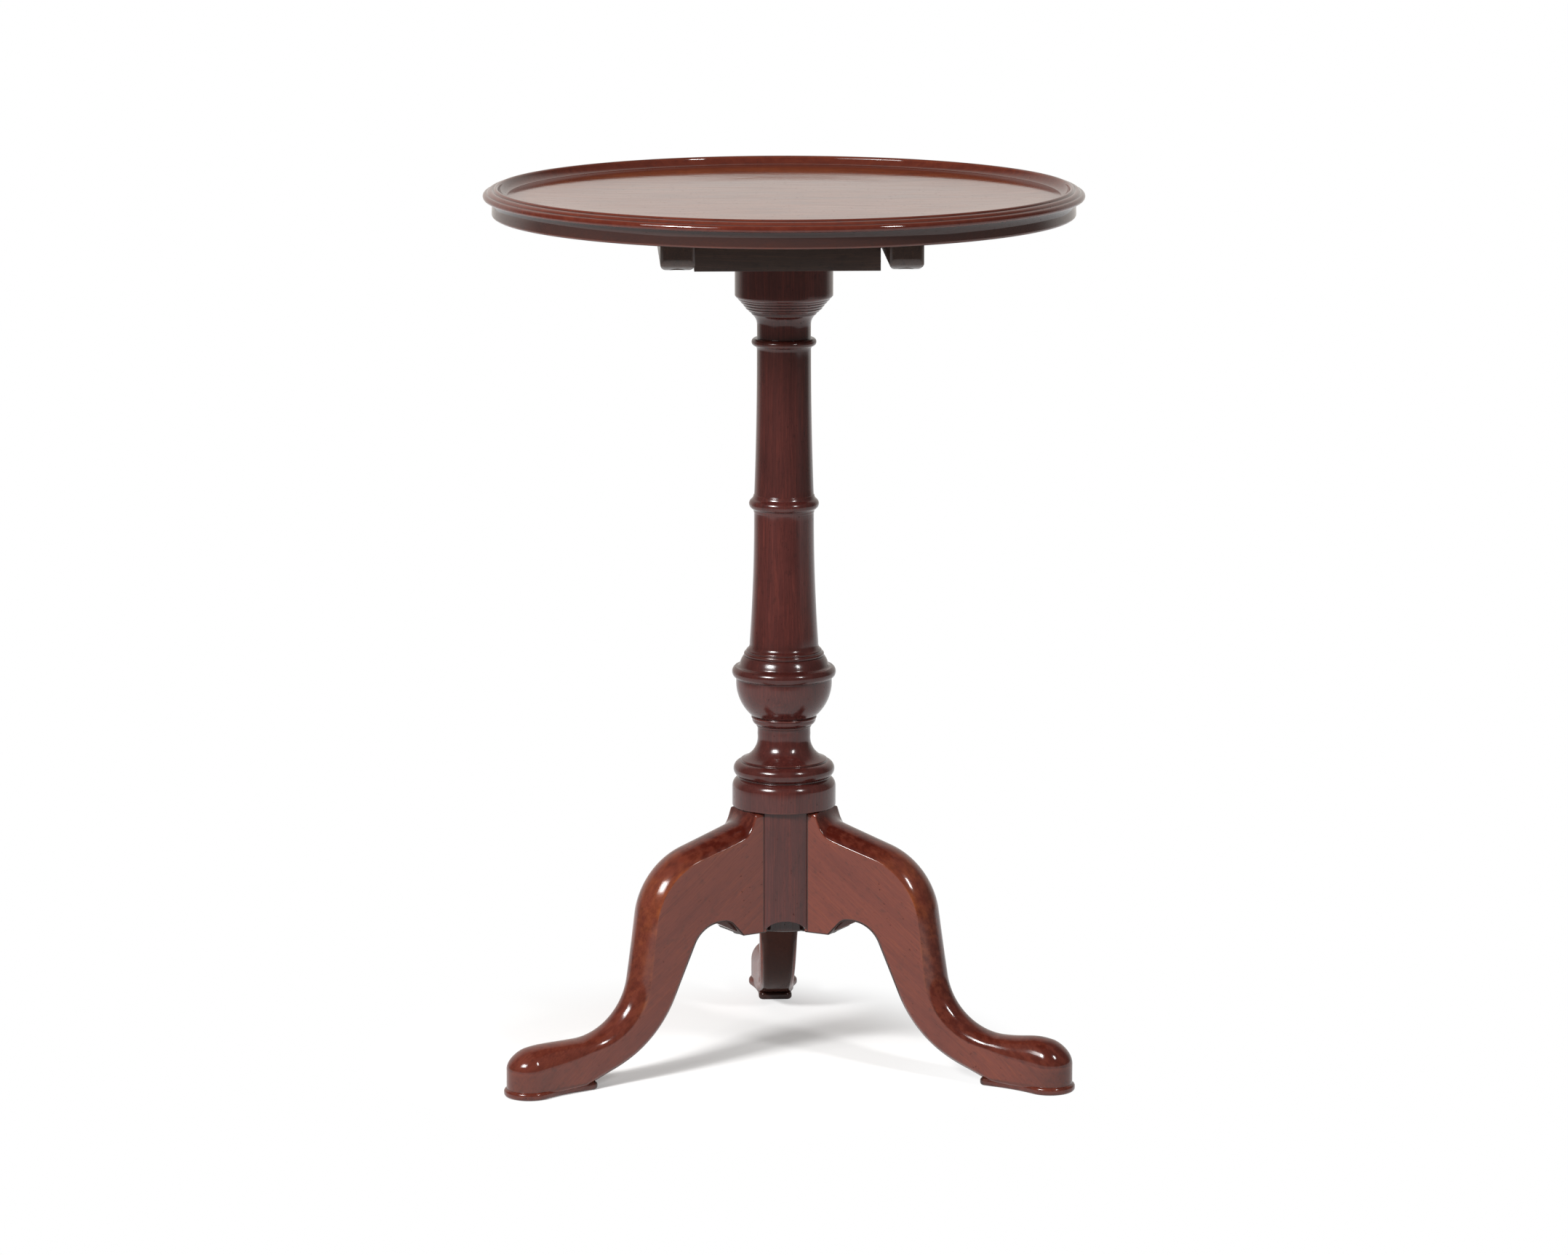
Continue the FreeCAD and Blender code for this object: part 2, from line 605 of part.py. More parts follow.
def strike_blank(clearance):
    """Return the strike plate's slab in the back of the block, or with a clearance its recess."""
    half = STRIKE_WIDTH / 2 + clearance
    middle = (bolt_top + bolt_under) / 2
    rise = STRIKE_HEIGHT / 2 + clearance
    return box((-half, half), (block_back - STRIKE_THICKNESS, block_back), (middle - rise, middle + rise))


def strike_hole(depth):
    """Return the hole that the bolt enters, to a depth from the back of the block."""
    half = BOLT_WIDTH / 2 + MORTISE_CLEARANCE
    span = (bolt_under - MORTISE_CLEARANCE, bolt_top + MORTISE_CLEARANCE)
    return box((-half, half), (block_back - depth, block_back), span)


def strike_screw_set(clearance):
    """Return the two screws of the strike plate, widened by a clearance where they are holes."""
    middle = (bolt_top + bolt_under) / 2
    reach = STRIKE_WIDTH / 2 - STRIKE_SCREW_INSET
    shapes = []
    for x in (-reach, reach):
        shape = screw(
            CATCH_SCREW_HEAD_RADIUS + clearance,
            STRIKE_THICKNESS,
            CATCH_SCREW_RADIUS + clearance,
            STRIKE_SCREW_LENGTH + clearance,
        )
        shape.rotate(V(0, 0, 0), V(1, 0, 0), 90)
        shape.translate(V(x, block_back, middle))
        shapes.append(shape)
    return shapes


def make_strike_plate():
    """Return the strike plate with its bolt hole and countersunk screw holes."""
    return strike_blank(0.0).cut([strike_hole(STRIKE_THICKNESS)] + strike_screw_set(JOINT_CLEARANCE))


def make_base_plate():
    """Return the three-armed iron plate under the hub."""
    low = HUB_CLEARANCE - PLATE_THICKNESS
    half = PLATE_ARM_WIDTH / 2
    arm_end = CUSP_REACH - PLATE_ARM_END_GAP
    plate = Part.makeCylinder(PLATE_HUB_RADIUS, PLATE_THICKNESS, V(0, 0, low))
    arm = box((-half, half), (0, arm_end - half), (low, HUB_CLEARANCE))
    tip = Part.makeCylinder(half, PLATE_THICKNESS, V(0, arm_end - half, low))
    arms = [leg_turned(shape, turn) for turn in leg_turns.values() for shape in (arm, tip)]
    holes = nail_holes(JOINT_CLEARANCE)
    for hole in holes:
        hole.translate(V(0, 0, -PLATE_THICKNESS))
    return plate.fuse(arms).removeSplitter().cut(holes)


def make_nails():
    """Return the plate's nails, with flat round heads under the plate."""
    nails = []
    for place in nail_places():
        seat = place - V(0, 0, PLATE_THICKNESS)
        shank = Part.makeCylinder(NAIL_RADIUS, NAIL_LENGTH, seat)
        head = Part.makeCone(
            NAIL_HEAD_RADIUS - NAIL_HEAD_HEIGHT / 2, NAIL_HEAD_RADIUS, NAIL_HEAD_HEIGHT,
            seat - V(0, 0, NAIL_HEAD_HEIGHT)
        )
        nails.append(shank.fuse(head).removeSplitter())
    return Part.makeCompound([leg_turned(nail, turn) for turn in leg_turns.values() for nail in nails])


def make_top():
    """Return the dished tray with its moulded rim, bored for the screws from below."""
    rim_top = TOP_HEIGHT - TRAY_FLOOR
    bead_foot = TOP_HEIGHT - LIP_ROUND - RIDGE_RISE - BEAD_HEIGHT
    ridge = TOP_RADIUS - BEAD_WIDTH
    lip = ridge - RIDGE_WIDTH
    cove_top = lip - LIP_WIDTH
    wall = TOP_RADIUS - CAVETTO_SETBACK
    profile = [
        (UNDER_ROUND, wall, 0.2),
        (bead_foot - UNDER_ROUND, wall + UNDER_ROUND / 2, -0.12),
        (0.0, ridge, 0.0),
        (BEAD_HEIGHT, ridge, BEAD_WIDTH / BEAD_HEIGHT),
        (RIDGE_RISE, lip, 0.22),
        (0.0, cove_top, LIP_ROUND / LIP_WIDTH),
        (LIP_ROUND - rim_top, cove_top - COVE_WIDTH, -0.2),
    ]
    top = revolved((wall - UNDER_ROUND, 0.0), profile)
    top.translate(V(0, 0, top_under))
    return top.cut(bearer_screw_set(1, JOINT_CLEARANCE) + bearer_screw_set(-1, JOINT_CLEARANCE)
                   + catch_screw_set(JOINT_CLEARANCE))


def bearer_screw_places(side):
    """Return the places of one bearer's screws, on the underside of the bearer's own pockets."""
    x = side * (bearer_inner + BEARER_WIDTH / 2)
    end = BEARER_LENGTH / 2 - BEARER_SCREW_INSET
    return [V(x, y, bearer_under) for y in (-end, end / 3, end)]


def bearer_screw_set(side, clearance):
    """Return one bearer's screws, widened by a clearance where they are holes."""
    length = BEARER_THICKNESS - SCREW_POCKET_DEPTH + SCREW_BITE
    shapes = []
    for place in bearer_screw_places(side):
        shape = screw(
            SCREW_HEAD_RADIUS + clearance,
            SCREW_HEAD_HEIGHT,
            SCREW_SHANK_RADIUS + clearance,
            length + clearance,
        )
        shape.translate(place + V(0, 0, SCREW_POCKET_DEPTH))
        shapes.append(shape)
    return shapes


def bearer_nose(x, end):
    """Return the quarter ellipse at one end of a bearer, from its end face down to its underside."""
    flat = BEARER_LENGTH / 2 - BEARER_NOSE_LENGTH
    nose_top = bearer_under + BEARER_NOSE_HEIGHT
    face_point = V(x, end * BEARER_LENGTH / 2, nose_top)
    under_point = V(x, end * flat, bearer_under)
    ellipse = Part.Ellipse(face_point, under_point, V(x, end * flat, nose_top))
    return Part.ArcOfEllipse(ellipse, 0, math.pi / 2).toShape()


def make_bearer(side):
    """Return a bearer on the left, side -1, or the right, side +1, with curved ends and screw pockets."""
    half = BEARER_LENGTH / 2
    inner = side * bearer_inner
    outer = inner + side * BEARER_WIDTH
    noses = [bearer_nose(inner, end) for end in (1, -1)]
    face_points = [nose.valueAt(nose.FirstParameter) for nose in noses]
    under_points = [nose.valueAt(nose.LastParameter) for nose in noses]
    back, front = [V(inner, end * half, top_under) for end in (1, -1)]
    edges = [
        Part.LineSegment(front, back).toShape(),
        Part.LineSegment(back, face_points[0]).toShape(),
        noses[0],
        Part.LineSegment(under_points[0], under_points[1]).toShape(),
        noses[1],
        Part.LineSegment(face_points[1], front).toShape(),
    ]
    outline = Part.Face(Part.Wire(edges)).extrude(V(outer - inner, 0, 0))
    bar = box((min(inner, outer), max(inner, outer)), (-half, half), (bearer_under, top_under))
    long_edges = [edge for edge in bar.Edges if abs(edge.tangentAt(0).y) > 0.5]
    low_edges = [edge for edge in long_edges if edge.CenterOfMass.z < pivot_height]
    upright_edges = [edge for edge in bar.Edges if abs(edge.tangentAt(0).z) > 0.5]
    plan = bar.makeFillet(BEARER_END_ROUND, upright_edges)
    bearer = bar.makeFillet(BEARER_EDGE_ROUND, low_edges).common(outline).common(plan)
    pintle_hole = Part.makeCylinder(
        PINTLE_RADIUS + PINTLE_CLEARANCE,
        PINTLE_LENGTH - BEARER_SIDE_GAP + PINTLE_END_GAP,
        V(inner, pivot_reach, pivot_height),
        V(side, 0, 0),
    )
    places = bearer_screw_places(side)
    pockets = [Part.makeCylinder(SCREW_POCKET_RADIUS, SCREW_POCKET_DEPTH, place) for place in places]
    return bearer.cut([pintle_hole] + pockets + bearer_screw_set(side, JOINT_CLEARANCE))


def catch_screw_set(clearance):
    """Return the four screws of the catch plate, widened by a clearance where they are holes."""
    reach = CATCH_PLATE_WIDTH / 2 - CATCH_SCREW_INSET
    first = catch_front + KEEPER_SET + KEEPER_LENGTH + CATCH_SCREW_HEAD_RADIUS + BOLT_CLEARANCE
    last = catch_front + CATCH_PLATE_LENGTH - CATCH_SCREW_INSET
    shapes = []
    for x in (-reach, reach):
        for y in (first, last):
            shape = screw(
                CATCH_SCREW_HEAD_RADIUS + clearance,
                CATCH_PLATE_THICKNESS,
                CATCH_SCREW_RADIUS + clearance,
                CATCH_PLATE_THICKNESS + CATCH_SCREW_BITE + clearance,
            )
            shape.translate(V(x, y, top_under - CATCH_PLATE_THICKNESS))
            shapes.append(shape)
    return shapes


def keeper_places():
    """Return where the two keepers of the catch start."""
    front = catch_front + KEEPER_SET
    back = catch_front + CATCH_PLATE_LENGTH - KEEPER_SET - KEEPER_LENGTH
    return [front, back]


def make_catch_plate():
    """Return the catch's plate with the two keepers that guide the bolt."""
    half = CATCH_PLATE_WIDTH / 2
    plate_under = top_under - CATCH_PLATE_THICKNESS
    span = (catch_front, catch_front + CATCH_PLATE_LENGTH)
    plate = box((-half, half), span, (plate_under, top_under))
    keeper_half = BOLT_WIDTH / 2 + BOLT_CLEARANCE + KEEPER_WALL
    keeper_low = bolt_under - BOLT_CLEARANCE - KEEPER_WALL
    keepers = []
    for start in keeper_places():
        run = (start, start + KEEPER_LENGTH)
        keepers.append(box((-keeper_half, keeper_half), run, (keeper_low, plate_under)))
    window_half = BOLT_WIDTH / 2 + BOLT_CLEARANCE
    window = box((-window_half, window_half), span, (bolt_under - BOLT_CLEARANCE, bolt_top + BOLT_CLEARANCE))
    return plate.fuse(keepers).removeSplitter().cut([window] + catch_screw_set(JOINT_CLEARANCE))


def make_spring():
    """Return the bowed leaf spring that presses on the bolt between the keepers."""
    front, back = keeper_places()
    start = front + KEEPER_LENGTH + SPRING_GAP
    end = back - SPRING_GAP
    high = top_under - CATCH_PLATE_THICKNESS
    low = bolt_top + SPRING_GAP
    half = SPRING_WIDTH / 2
    middle = (start + end) / 2
    outer = Part.Arc(V(-half, start, high), V(-half, middle, low), V(-half, end, high)).toShape()
    inset = SPRING_THICKNESS * 2
    inner = Part.Arc(
        V(-half, end - inset, high), V(-half, middle, low + SPRING_THICKNESS), V(-half, start + inset, high)
    ).toShape()
    edges = [
        outer,
        Part.LineSegment(V(-half, end, high), V(-half, end - inset, high)).toShape(),
        inner,
        Part.LineSegment(V(-half, start + inset, high), V(-half, start, high)).toShape(),
    ]
    return Part.Face(Part.Wire(edges)).extrude(V(SPRING_WIDTH, 0, 0))


def make_bolt():
    """Return the catch bolt, drawn back clear of the block, with a rounded tip and a hole for the knob."""
    half = BOLT_WIDTH / 2
    tip = block_back + BOLT_TIP_GAP
    bar = box((-half, half), (tip + BOLT_HEIGHT / 2, tip + BOLT_LENGTH), (bolt_under, bolt_top))
    nose_centre = V(-half, tip + BOLT_HEIGHT / 2, (bolt_top + bolt_under) / 2)
    nose = Part.makeCylinder(BOLT_HEIGHT / 2, BOLT_WIDTH, nose_centre, V(1, 0, 0))
    hole = Part.makeCylinder(KNOB_NECK_RADIUS / 2 + JOINT_CLEARANCE, BOLT_HEIGHT, knob_place())
    return bar.fuse(nose).removeSplitter().cut(hole)


def knob_place():
    """Return where the knob's stud enters the underside of the bolt."""
    return V(0, block_back + BOLT_TIP_GAP + BOLT_LENGTH - KNOB_TAIL_INSET, bolt_under)


def make_knob():
    """Return the turned knob that hangs under the bolt's tail, riveted through it by a stud."""
    members = [
        (KNOB_RADIUS, KNOB_RADIUS, 0.2),
        (KNOB_RADIUS, KNOB_NECK_RADIUS, 0.2),
        (KNOB_NECK_LENGTH, KNOB_NECK_RADIUS, 0.0),
        (0.0, KNOB_NECK_RADIUS / 2, 0.0),
        (BOLT_HEIGHT, KNOB_NECK_RADIUS / 2, 0.0),
    ]
    knob = revolved((KNOB_NECK_RADIUS, 0.0), members)
    knob.translate(knob_place() - V(0, 0, 2 * KNOB_RADIUS + KNOB_NECK_LENGTH))
    return knob


def make_parts():
    """Return every piece by its node name, about the pillar's axis."""
    leg = make_leg()
    leg_holes = nail_holes(JOINT_CLEARANCE)
    parts = {
        "pillar": make_pillar(),
        "pillar_wedge": make_wedge(0.0),
        "pivot_block": make_block(),
        "base_plate": make_base_plate(),
        "base_plate_nails": make_nails(),
        "strike_plate": make_strike_plate(),
        "strike_screws": Part.makeCompound(strike_screw_set(0.0)),
        "tray_top": make_top(),
        "bearer_left": make_bearer(-1),
        "bearer_right": make_bearer(1),
        "bearer_screws_left": Part.makeCompound(bearer_screw_set(-1, 0.0)),
        "bearer_screws_right": Part.makeCompound(bearer_screw_set(1, 0.0)),
        "catch_plate": make_catch_plate(),
        "catch_screws": Part.makeCompound(catch_screw_set(0.0)),
        "catch_spring": make_spring(),
        "catch_bolt": make_bolt(),
        "catch_knob": make_knob(),
    }
    for name, turn in leg_turns.items():
        parts[name] = leg_turned(leg, turn).cut(leg_holes)
    return parts


def main():
    """Build every piece, move it to the object's origin and write it as one STEP file."""
    os.makedirs("parts", exist_ok=True)
    for name, shape in make_parts().items():
        shape.translate(axis_shift)
        print(name, "solids", len(shape.Solids), "valid", shape.isValid(), "volume", round(shape.Volume))
        shape.exportStep("parts/" + name + ".step")


if __name__ == "__main__":
    main()
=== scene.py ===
"""Looks of a tilt-top candle stand: a dished tray on a pivot block, a turned pillar and cabriole legs.

Lengths are millimetres about the pillar's axis, with the floor at z = 0 and the back leg along +Y. A
mesh is moved into the row frame, in metres, when it is made. Every wooden surface carries four
attributes for its finish: plank, its place in the board it was cut from with the grain along the first
axis, and worn, grime and stain, each from 0 to 1. The grime attribute is real dirt, and also painted
shade in recesses, under parts and where parts meet.
"""
import logging
import math
from dataclasses import dataclass, field, replace
from enum import Enum

import bmesh
import bpy
import numpy as np
from mathutils import Euler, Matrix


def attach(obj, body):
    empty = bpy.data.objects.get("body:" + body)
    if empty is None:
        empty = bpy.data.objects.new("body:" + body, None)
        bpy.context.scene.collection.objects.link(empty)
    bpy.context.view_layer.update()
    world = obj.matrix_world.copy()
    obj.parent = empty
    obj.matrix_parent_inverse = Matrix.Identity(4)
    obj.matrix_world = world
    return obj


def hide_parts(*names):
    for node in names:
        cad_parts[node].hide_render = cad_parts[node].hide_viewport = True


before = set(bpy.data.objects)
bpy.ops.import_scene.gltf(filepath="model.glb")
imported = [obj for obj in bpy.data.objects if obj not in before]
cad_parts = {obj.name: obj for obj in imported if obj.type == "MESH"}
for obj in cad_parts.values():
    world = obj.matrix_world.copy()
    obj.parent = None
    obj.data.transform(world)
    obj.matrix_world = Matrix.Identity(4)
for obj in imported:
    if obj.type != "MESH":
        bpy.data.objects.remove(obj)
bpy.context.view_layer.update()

log = logging.getLogger("candle_stand")

MM = 0.001
AXIS_SHIFT = np.array([0.0, -10.2, 0.0])
# The grime layer holds real dirt and also painted shade in recesses, under parts and where parts meet
LAYERS = {
    "plank": ("FLOAT_VECTOR", "vector"), "worn": ("FLOAT", "value"), "grime": ("FLOAT", "value"),
    "stain": ("FLOAT", "value"),
}
# Distances in metres within which points are one point and an edge has no length
WELD = 0.00002
SLIVER = 0.000002
# Millimetres between the samples of an outline, and samples over which its bend is evened out
SAMPLE = 0.1
BEND_BLUR = 6.0
# Half the angle, in radians, of the arc that stands for a straight member
STRAIGHT = 1e-4
# Points in a member of a turning, the arc of a path, the round of a slab and the corner of a section
MEMBER_POINTS = 100
ARC_POINTS = 60
ROUND_POINTS = 7
CORNER_POINTS = 6


class Grain(Enum):
    """Order in which x, y and z are read, so that the first runs along the grain of a board."""

    ACROSS = (0, 1, 2)
    DEEP = (1, 0, 2)
    UPRIGHT = (2, 0, 1)


# Mesh helpers


@dataclass
class Surface:
    """A grid of points, rows by columns, with what the wood finish needs at each point.

    Attributes:
        points: array of rows, columns and x, y, z in millimetres.
        plank: array of the same shape, the place in the board, or None for the points themselves.
        worn: rows by columns from 0 to 1, or None.
        grime: rows by columns from 0 to 1, or None; real dirt, and painted shade in recesses,
        under parts and where parts meet.
        stain: rows by columns from 0 to 1, or None.
        closed: whether the last column joins the first.
    """

    points: np.ndarray
    plank: np.ndarray | None = None
    worn: np.ndarray | None = None
    grime: np.ndarray | None = None
    stain: np.ndarray | None = None
    closed: bool = True

    def quads(self, first: int) -> np.ndarray:
        """Corner indices of every cell of the grid, counted from first.

        Args:
            first: index of the grid's first point in the whole mesh.

        Returns:
            An array of four indices per face.
        """
        rows, columns = self.points.shape[:2]
        index = first + np.arange(rows * columns).reshape(rows, columns)
        if self.closed:
            index = np.hstack([index, index[:, :1]])
        corners = [index[:-1, :-1], index[:-1, 1:], index[1:, 1:], index[1:, :-1]]
        return np.stack(corners, axis=-1).reshape(-1, 4)

    def layer(self, name: str) -> np.ndarray:
        """Values of one attribute, flattened, with zeros or the points where none were given.

        Args:
            name: plank, worn, grime or stain.

        Returns:
            A flat array of floats.
        """
        values = getattr(self, name)
        if values is None:
            values = self.points if name == "plank" else np.zeros(self.points.shape[:2])
        return np.ascontiguousarray(values, dtype=np.float32).ravel()


def make_piece(name: str, surfaces: list[Surface], sharp: float = 38.0) -> bpy.types.Object:
    """Join grids into one mesh in the row frame, merge seams and poles, and turn its faces outwards.

    Args:
        name: name of the object.
        surfaces: the grids.
        sharp: angle in degrees above which an edge shades as a crease.

    Returns:
        The new object, linked to the scene.
    """
    firsts = np.cumsum([0] + [s.points.shape[0] * s.points.shape[1] for s in surfaces])
    points = np.vstack([s.points.reshape(-1, 3) for s in surfaces])
    quads = np.vstack([s.quads(int(first)) for s, first in zip(surfaces, firsts)])
    mesh = bpy.data.meshes.new(name)
    mesh.from_pydata(((points + AXIS_SHIFT) * MM).tolist(), [], quads.tolist())
    for layer, (kind, slot) in LAYERS.items():
        values = np.concatenate([s.layer(layer) for s in surfaces])
        mesh.attributes.new(layer, kind, "POINT").data.foreach_set(slot, values)
    shell = bmesh.new()
    shell.from_mesh(mesh)
    bmesh.ops.remove_doubles(shell, verts=shell.verts, dist=WELD)
    bmesh.ops.dissolve_degenerate(shell, edges=shell.edges, dist=SLIVER)
    bmesh.ops.recalc_face_normals(shell, faces=shell.faces)
    shell.to_mesh(mesh)
    shell.free()
    return shown(name, mesh, sharp)


def shown(name: str, mesh: bpy.types.Mesh, sharp: float) -> bpy.types.Object:
    """Smooth a mesh between its creases and link it to the scene.

    Args:
        name: name of the object.
        mesh: its mesh.
        sharp: angle in degrees above which an edge shades as a crease.

    Returns:
        The new object.
    """
    mesh.shade_smooth()
    mesh.set_sharp_from_angle(angle=math.radians(sharp))
    piece = bpy.data.objects.new(name, mesh)
    bpy.context.scene.collection.objects.link(piece)
    return piece


def along(line: np.ndarray) -> np.ndarray:
    """Distance from the start of a broken line to each of its points."""
    return np.concatenate([[0.0], np.cumsum(np.linalg.norm(np.diff(line, axis=0), axis=1))])


def respaced(line: np.ndarray, count: int) -> np.ndarray:
    """Points at even distances along a broken line.

    Args:
        line: points of the line.
        count: number of points wanted.

    Returns:
        An array of count points.
    """
    run = along(line)
    places = np.linspace(0.0, run[-1], count)
    return np.stack([np.interp(places, run, line[:, axis]) for axis in range(line.shape[1])], axis=1)


def ramp(places: np.ndarray, steps: tuple) -> np.ndarray:
    """Value at each place on the broken line through steps, which are pairs of place and value."""
    return np.interp(places, *np.transpose(steps))


def bell(distance: np.ndarray, width: float) -> np.ndarray:
    """Bell curve of a distance: exp(-(distance / width)^2)."""
    return np.exp(-(distance / width) ** 2)


def by_bend(bend: np.ndarray, gain: float, free: float, most: float) -> np.ndarray:
    """Wear of rounded edges, or dirt in hollows if gain is negative: gain bend - free, from 0 to most."""
    return np.clip(gain * bend - free, 0, most)


def softened(values: np.ndarray, spread: float) -> np.ndarray:
    """Blur an array along its first axis with a bell curve, keeping its two ends where they are.

    Args:
        values: array whose first axis is blurred.
        spread: standard deviation of the bell, in samples.

    Returns:
        The blurred array. Each end is continued by turning the array half round about its end value.
    """
    reach = max(1, int(3 * spread))
    weights = np.exp(-0.5 * (np.arange(-reach, reach + 1) / spread) ** 2)
    weights /= weights.sum()
    table = values.reshape(len(values), -1)
    head = 2 * table[:1] - table[reach:0:-1]
    tail = 2 * table[-1:] - table[-2:-reach - 2:-1]
    padded = np.vstack([head, table, tail])
    columns = [np.convolve(column, weights, mode="valid") for column in padded.T]
    return np.stack(columns, axis=1).reshape(values.shape)


def turned_profile(start: tuple[float, float], members: tuple) -> np.ndarray:
    """Radius and height along a turned outline.

    Each member is a rise, the radius reached and a bulge. Its points lie on the arc whose height is the
    bulge times the chord: at angle a the point is half the chord times sin a / sin A along the chord and
    the height times (cos a - cos A) / (1 - cos A) off it, where A = 2 atan(2 bulge).

    Args:
        start: first radius and height.
        members: rise, radius and bulge of each member.

    Returns:
        An array of radius and height.
    """
    runs = [np.array([start])]
    share = np.linspace(-1.0, 1.0, MEMBER_POINTS)
    for rise, radius, bulge in members:
        here = runs[-1][-1]
        there = np.array([radius, here[1] + rise])
        chord = there - here
        side = np.array([chord[1], -chord[0]])
        half = 2 * math.atan(2 * bulge) if bulge else STRAIGHT
        lengthwise = 0.5 * np.sin(share * half) / math.sin(half)
        outward = bulge * (np.cos(share * half) - math.cos(half)) / (1 - math.cos(half))
        runs.append((here + there) / 2 + lengthwise[:, None] * chord + outward[:, None] * side)
    return np.vstack(runs)


def finished_profile(line: np.ndarray, ease: float, turn: float, run: float) -> tuple[np.ndarray, ...]:
    """Ease the corners of an outline and space its points by how much it bends.

    The outline is sampled finely and blurred by ease. Points are then set at even steps of the sum of
    its bend over turn and its length over run.

    Args:
        line: points of the outline.
        ease: blur of the corners in millimetres.
        turn: degrees of bend between two points.
        run: most length between two points.

    Returns:
        The points, and the bend in radians per millimetre at each, positive where the outline is convex.
    """
    fine = respaced(line, int(along(line)[-1] / SAMPLE))
    eased = softened(fine, ease / SAMPLE)
    step = np.diff(eased, axis=0)
    heading = np.unwrap(np.arctan2(step[:, 1], step[:, 0]))
    length = np.linalg.norm(step, axis=1)
    bend = np.gradient(heading)
    measure = np.concatenate([[0.0], np.cumsum(np.abs(bend) / math.radians(turn) + length / run)])
    places = np.linspace(0.0, measure[-1], int(measure[-1]) + 2)
    points = np.stack([np.interp(places, measure, eased[:, axis]) for axis in (0, 1)], axis=1)
    curl = softened(bend / np.maximum(length, 1e-6), BEND_BLUR)
    return points, np.interp(places, measure[1:], curl)


def ringed(values: np.ndarray, columns: int) -> np.ndarray:
    """Repeat the one value of each row round its ring."""
    return np.repeat(values[:, None], columns, axis=1)


def revolved(profile: np.ndarray, columns: int) -> np.ndarray:
    """Turn radius and height about the upright axis: x = r cos t, y = r sin t, z.

    Args:
        profile: rows of radius and height.
        columns: number of points in a ring.

    Returns:
        A grid of points.
    """
    turn = np.linspace(0.0, 2 * math.pi, columns, endpoint=False)
    radius, height = (ringed(values, columns) for values in profile.T)
    return np.stack([radius * np.cos(turn), radius * np.sin(turn), height], axis=-1)


def rounded_path(corners: list[tuple[float, float]], radii: list[float]) -> list[np.ndarray]:
    """Runs of a broken line with tangent arcs at its inner corners: straight, arc, straight and so on.

    The arc of radius r at a corner where the line turns by b starts r tan(b / 2) before the corner.

    Args:
        corners: points of the broken line.
        radii: radius of the arc at each inner corner.

    Returns:
        One array of points per run.
    """
    line = np.array(corners, dtype=float)
    runs = []
    start = line[0]
    for corner, after, radius in zip(line[1:-1], line[2:], radii):
        into = (corner - start) / np.linalg.norm(corner - start)
        out = (after - corner) / np.linalg.norm(after - corner)
        bend = math.acos(float(np.clip(into @ out, -1, 1)))
        reach = radius * math.tan(bend / 2)
        first, last = corner - into * reach, corner + out * reach
        side = out - into * (into @ out)
        centre = first + side / np.linalg.norm(side) * radius
        angle = np.linspace(0.0, bend, ARC_POINTS)[:, None]
        runs.append(np.array([start, first]))
        runs.append(centre + (first - centre) * np.cos(angle) + into * radius * np.sin(angle))
        start = last
    runs.append(np.array([start, line[-1]]))
    return runs


def arc(centre: tuple[float, float], radius: float, start: float, end: float, count: int) -> np.ndarray:
    """Points on a circle between two angles in degrees: centre + radius (cos a, sin a)."""
    angle = np.radians(np.linspace(start, end, count))
    return np.array(centre) + radius * np.stack([np.cos(angle), np.sin(angle)], axis=1)


def rounded_slab(outline: np.ndarray, low: float, high: float, edge: float) -> np.ndarray:
    """A flat piece with rounded edges: rings of its outline, closed by a fan in the middle of each face.

    On the round of an edge, at angle a, a ring lies edge (1 - sin a) inside the outline and
    edge (1 - cos a) from the lower face, and the same from the upper face in the other order.

    Args:
        outline: points of a closed outline, once round.
        low: level of the lower face.
        high: level of the upper face.
        edge: radius of both edges.

    Returns:
        A grid of points, the outline's two axes first and the level last.
    """
    onward = np.roll(outline, -1, axis=0) - np.roll(outline, 1, axis=0)
    following = np.roll(outline, -1, axis=0)
    area = np.sum(outline[:, 0] * following[:, 1] - outline[:, 1] * following[:, 0])
    inward = np.stack([-onward[:, 1], onward[:, 0]], axis=1) * np.sign(area)
    inward /= np.linalg.norm(inward, axis=1)[:, None]
    quarter = np.linspace(0, math.pi / 2, ROUND_POINTS)
    insets = np.concatenate([edge * (1 - np.sin(quarter)), edge * (1 - np.cos(quarter))])
    lower, upper = low + edge * (1 - np.cos(quarter)), high - edge * (1 - np.sin(quarter))
    levels = np.concatenate([lower, upper])
    plan = outline + insets[:, None, None] * inward
    rings = np.concatenate([plan, levels[:, None, None] + 0 * plan[..., :1]], axis=-1)
    middle = outline.mean(axis=0)
    fans = [np.tile(np.append(middle, level), (1, len(outline), 1)) for level in (low, high)]
    return np.concatenate([fans[0], rings, fans[1]])


def turned_about_axis(points: np.ndarray, degrees: float) -> np.ndarray:
    """Turn points about the pillar's axis: x cos a - y sin a, x sin a + y cos a, z.

    Args:
        points: x, y and z in the last axis.
        degrees: angle a, counted from +X towards +Y.

    Returns:
        The turned points.
    """
    cos, sin = math.cos(math.radians(degrees)), math.sin(math.radians(degrees))
    turn = np.array([[cos, -sin, 0], [sin, cos, 0], [0, 0, 1]])
    return points @ turn.T


def eased_corner(before: tuple, corner: tuple, after: tuple) -> tuple[np.ndarray, ...]:
    """Round a corner by a parabola: (1-t)^2 before + 2t(1-t) corner + t^2 after.

    Args:
        before: sideways place and height where it starts, each a column of rows.
        corner: the same for the corner, its control point.
        after: the same for its end.

    Returns:
        Sideways places and heights, rows by points.
    """
    t = np.linspace(0.0, 1.0, CORNER_POINTS)
    parts = ((before, (1 - t) ** 2), (corner, 2 * t * (1 - t)), (after, t ** 2))
    return tuple(sum(weight * point[axis] for point, weight in parts) for axis in (0, 1))


# Finishes


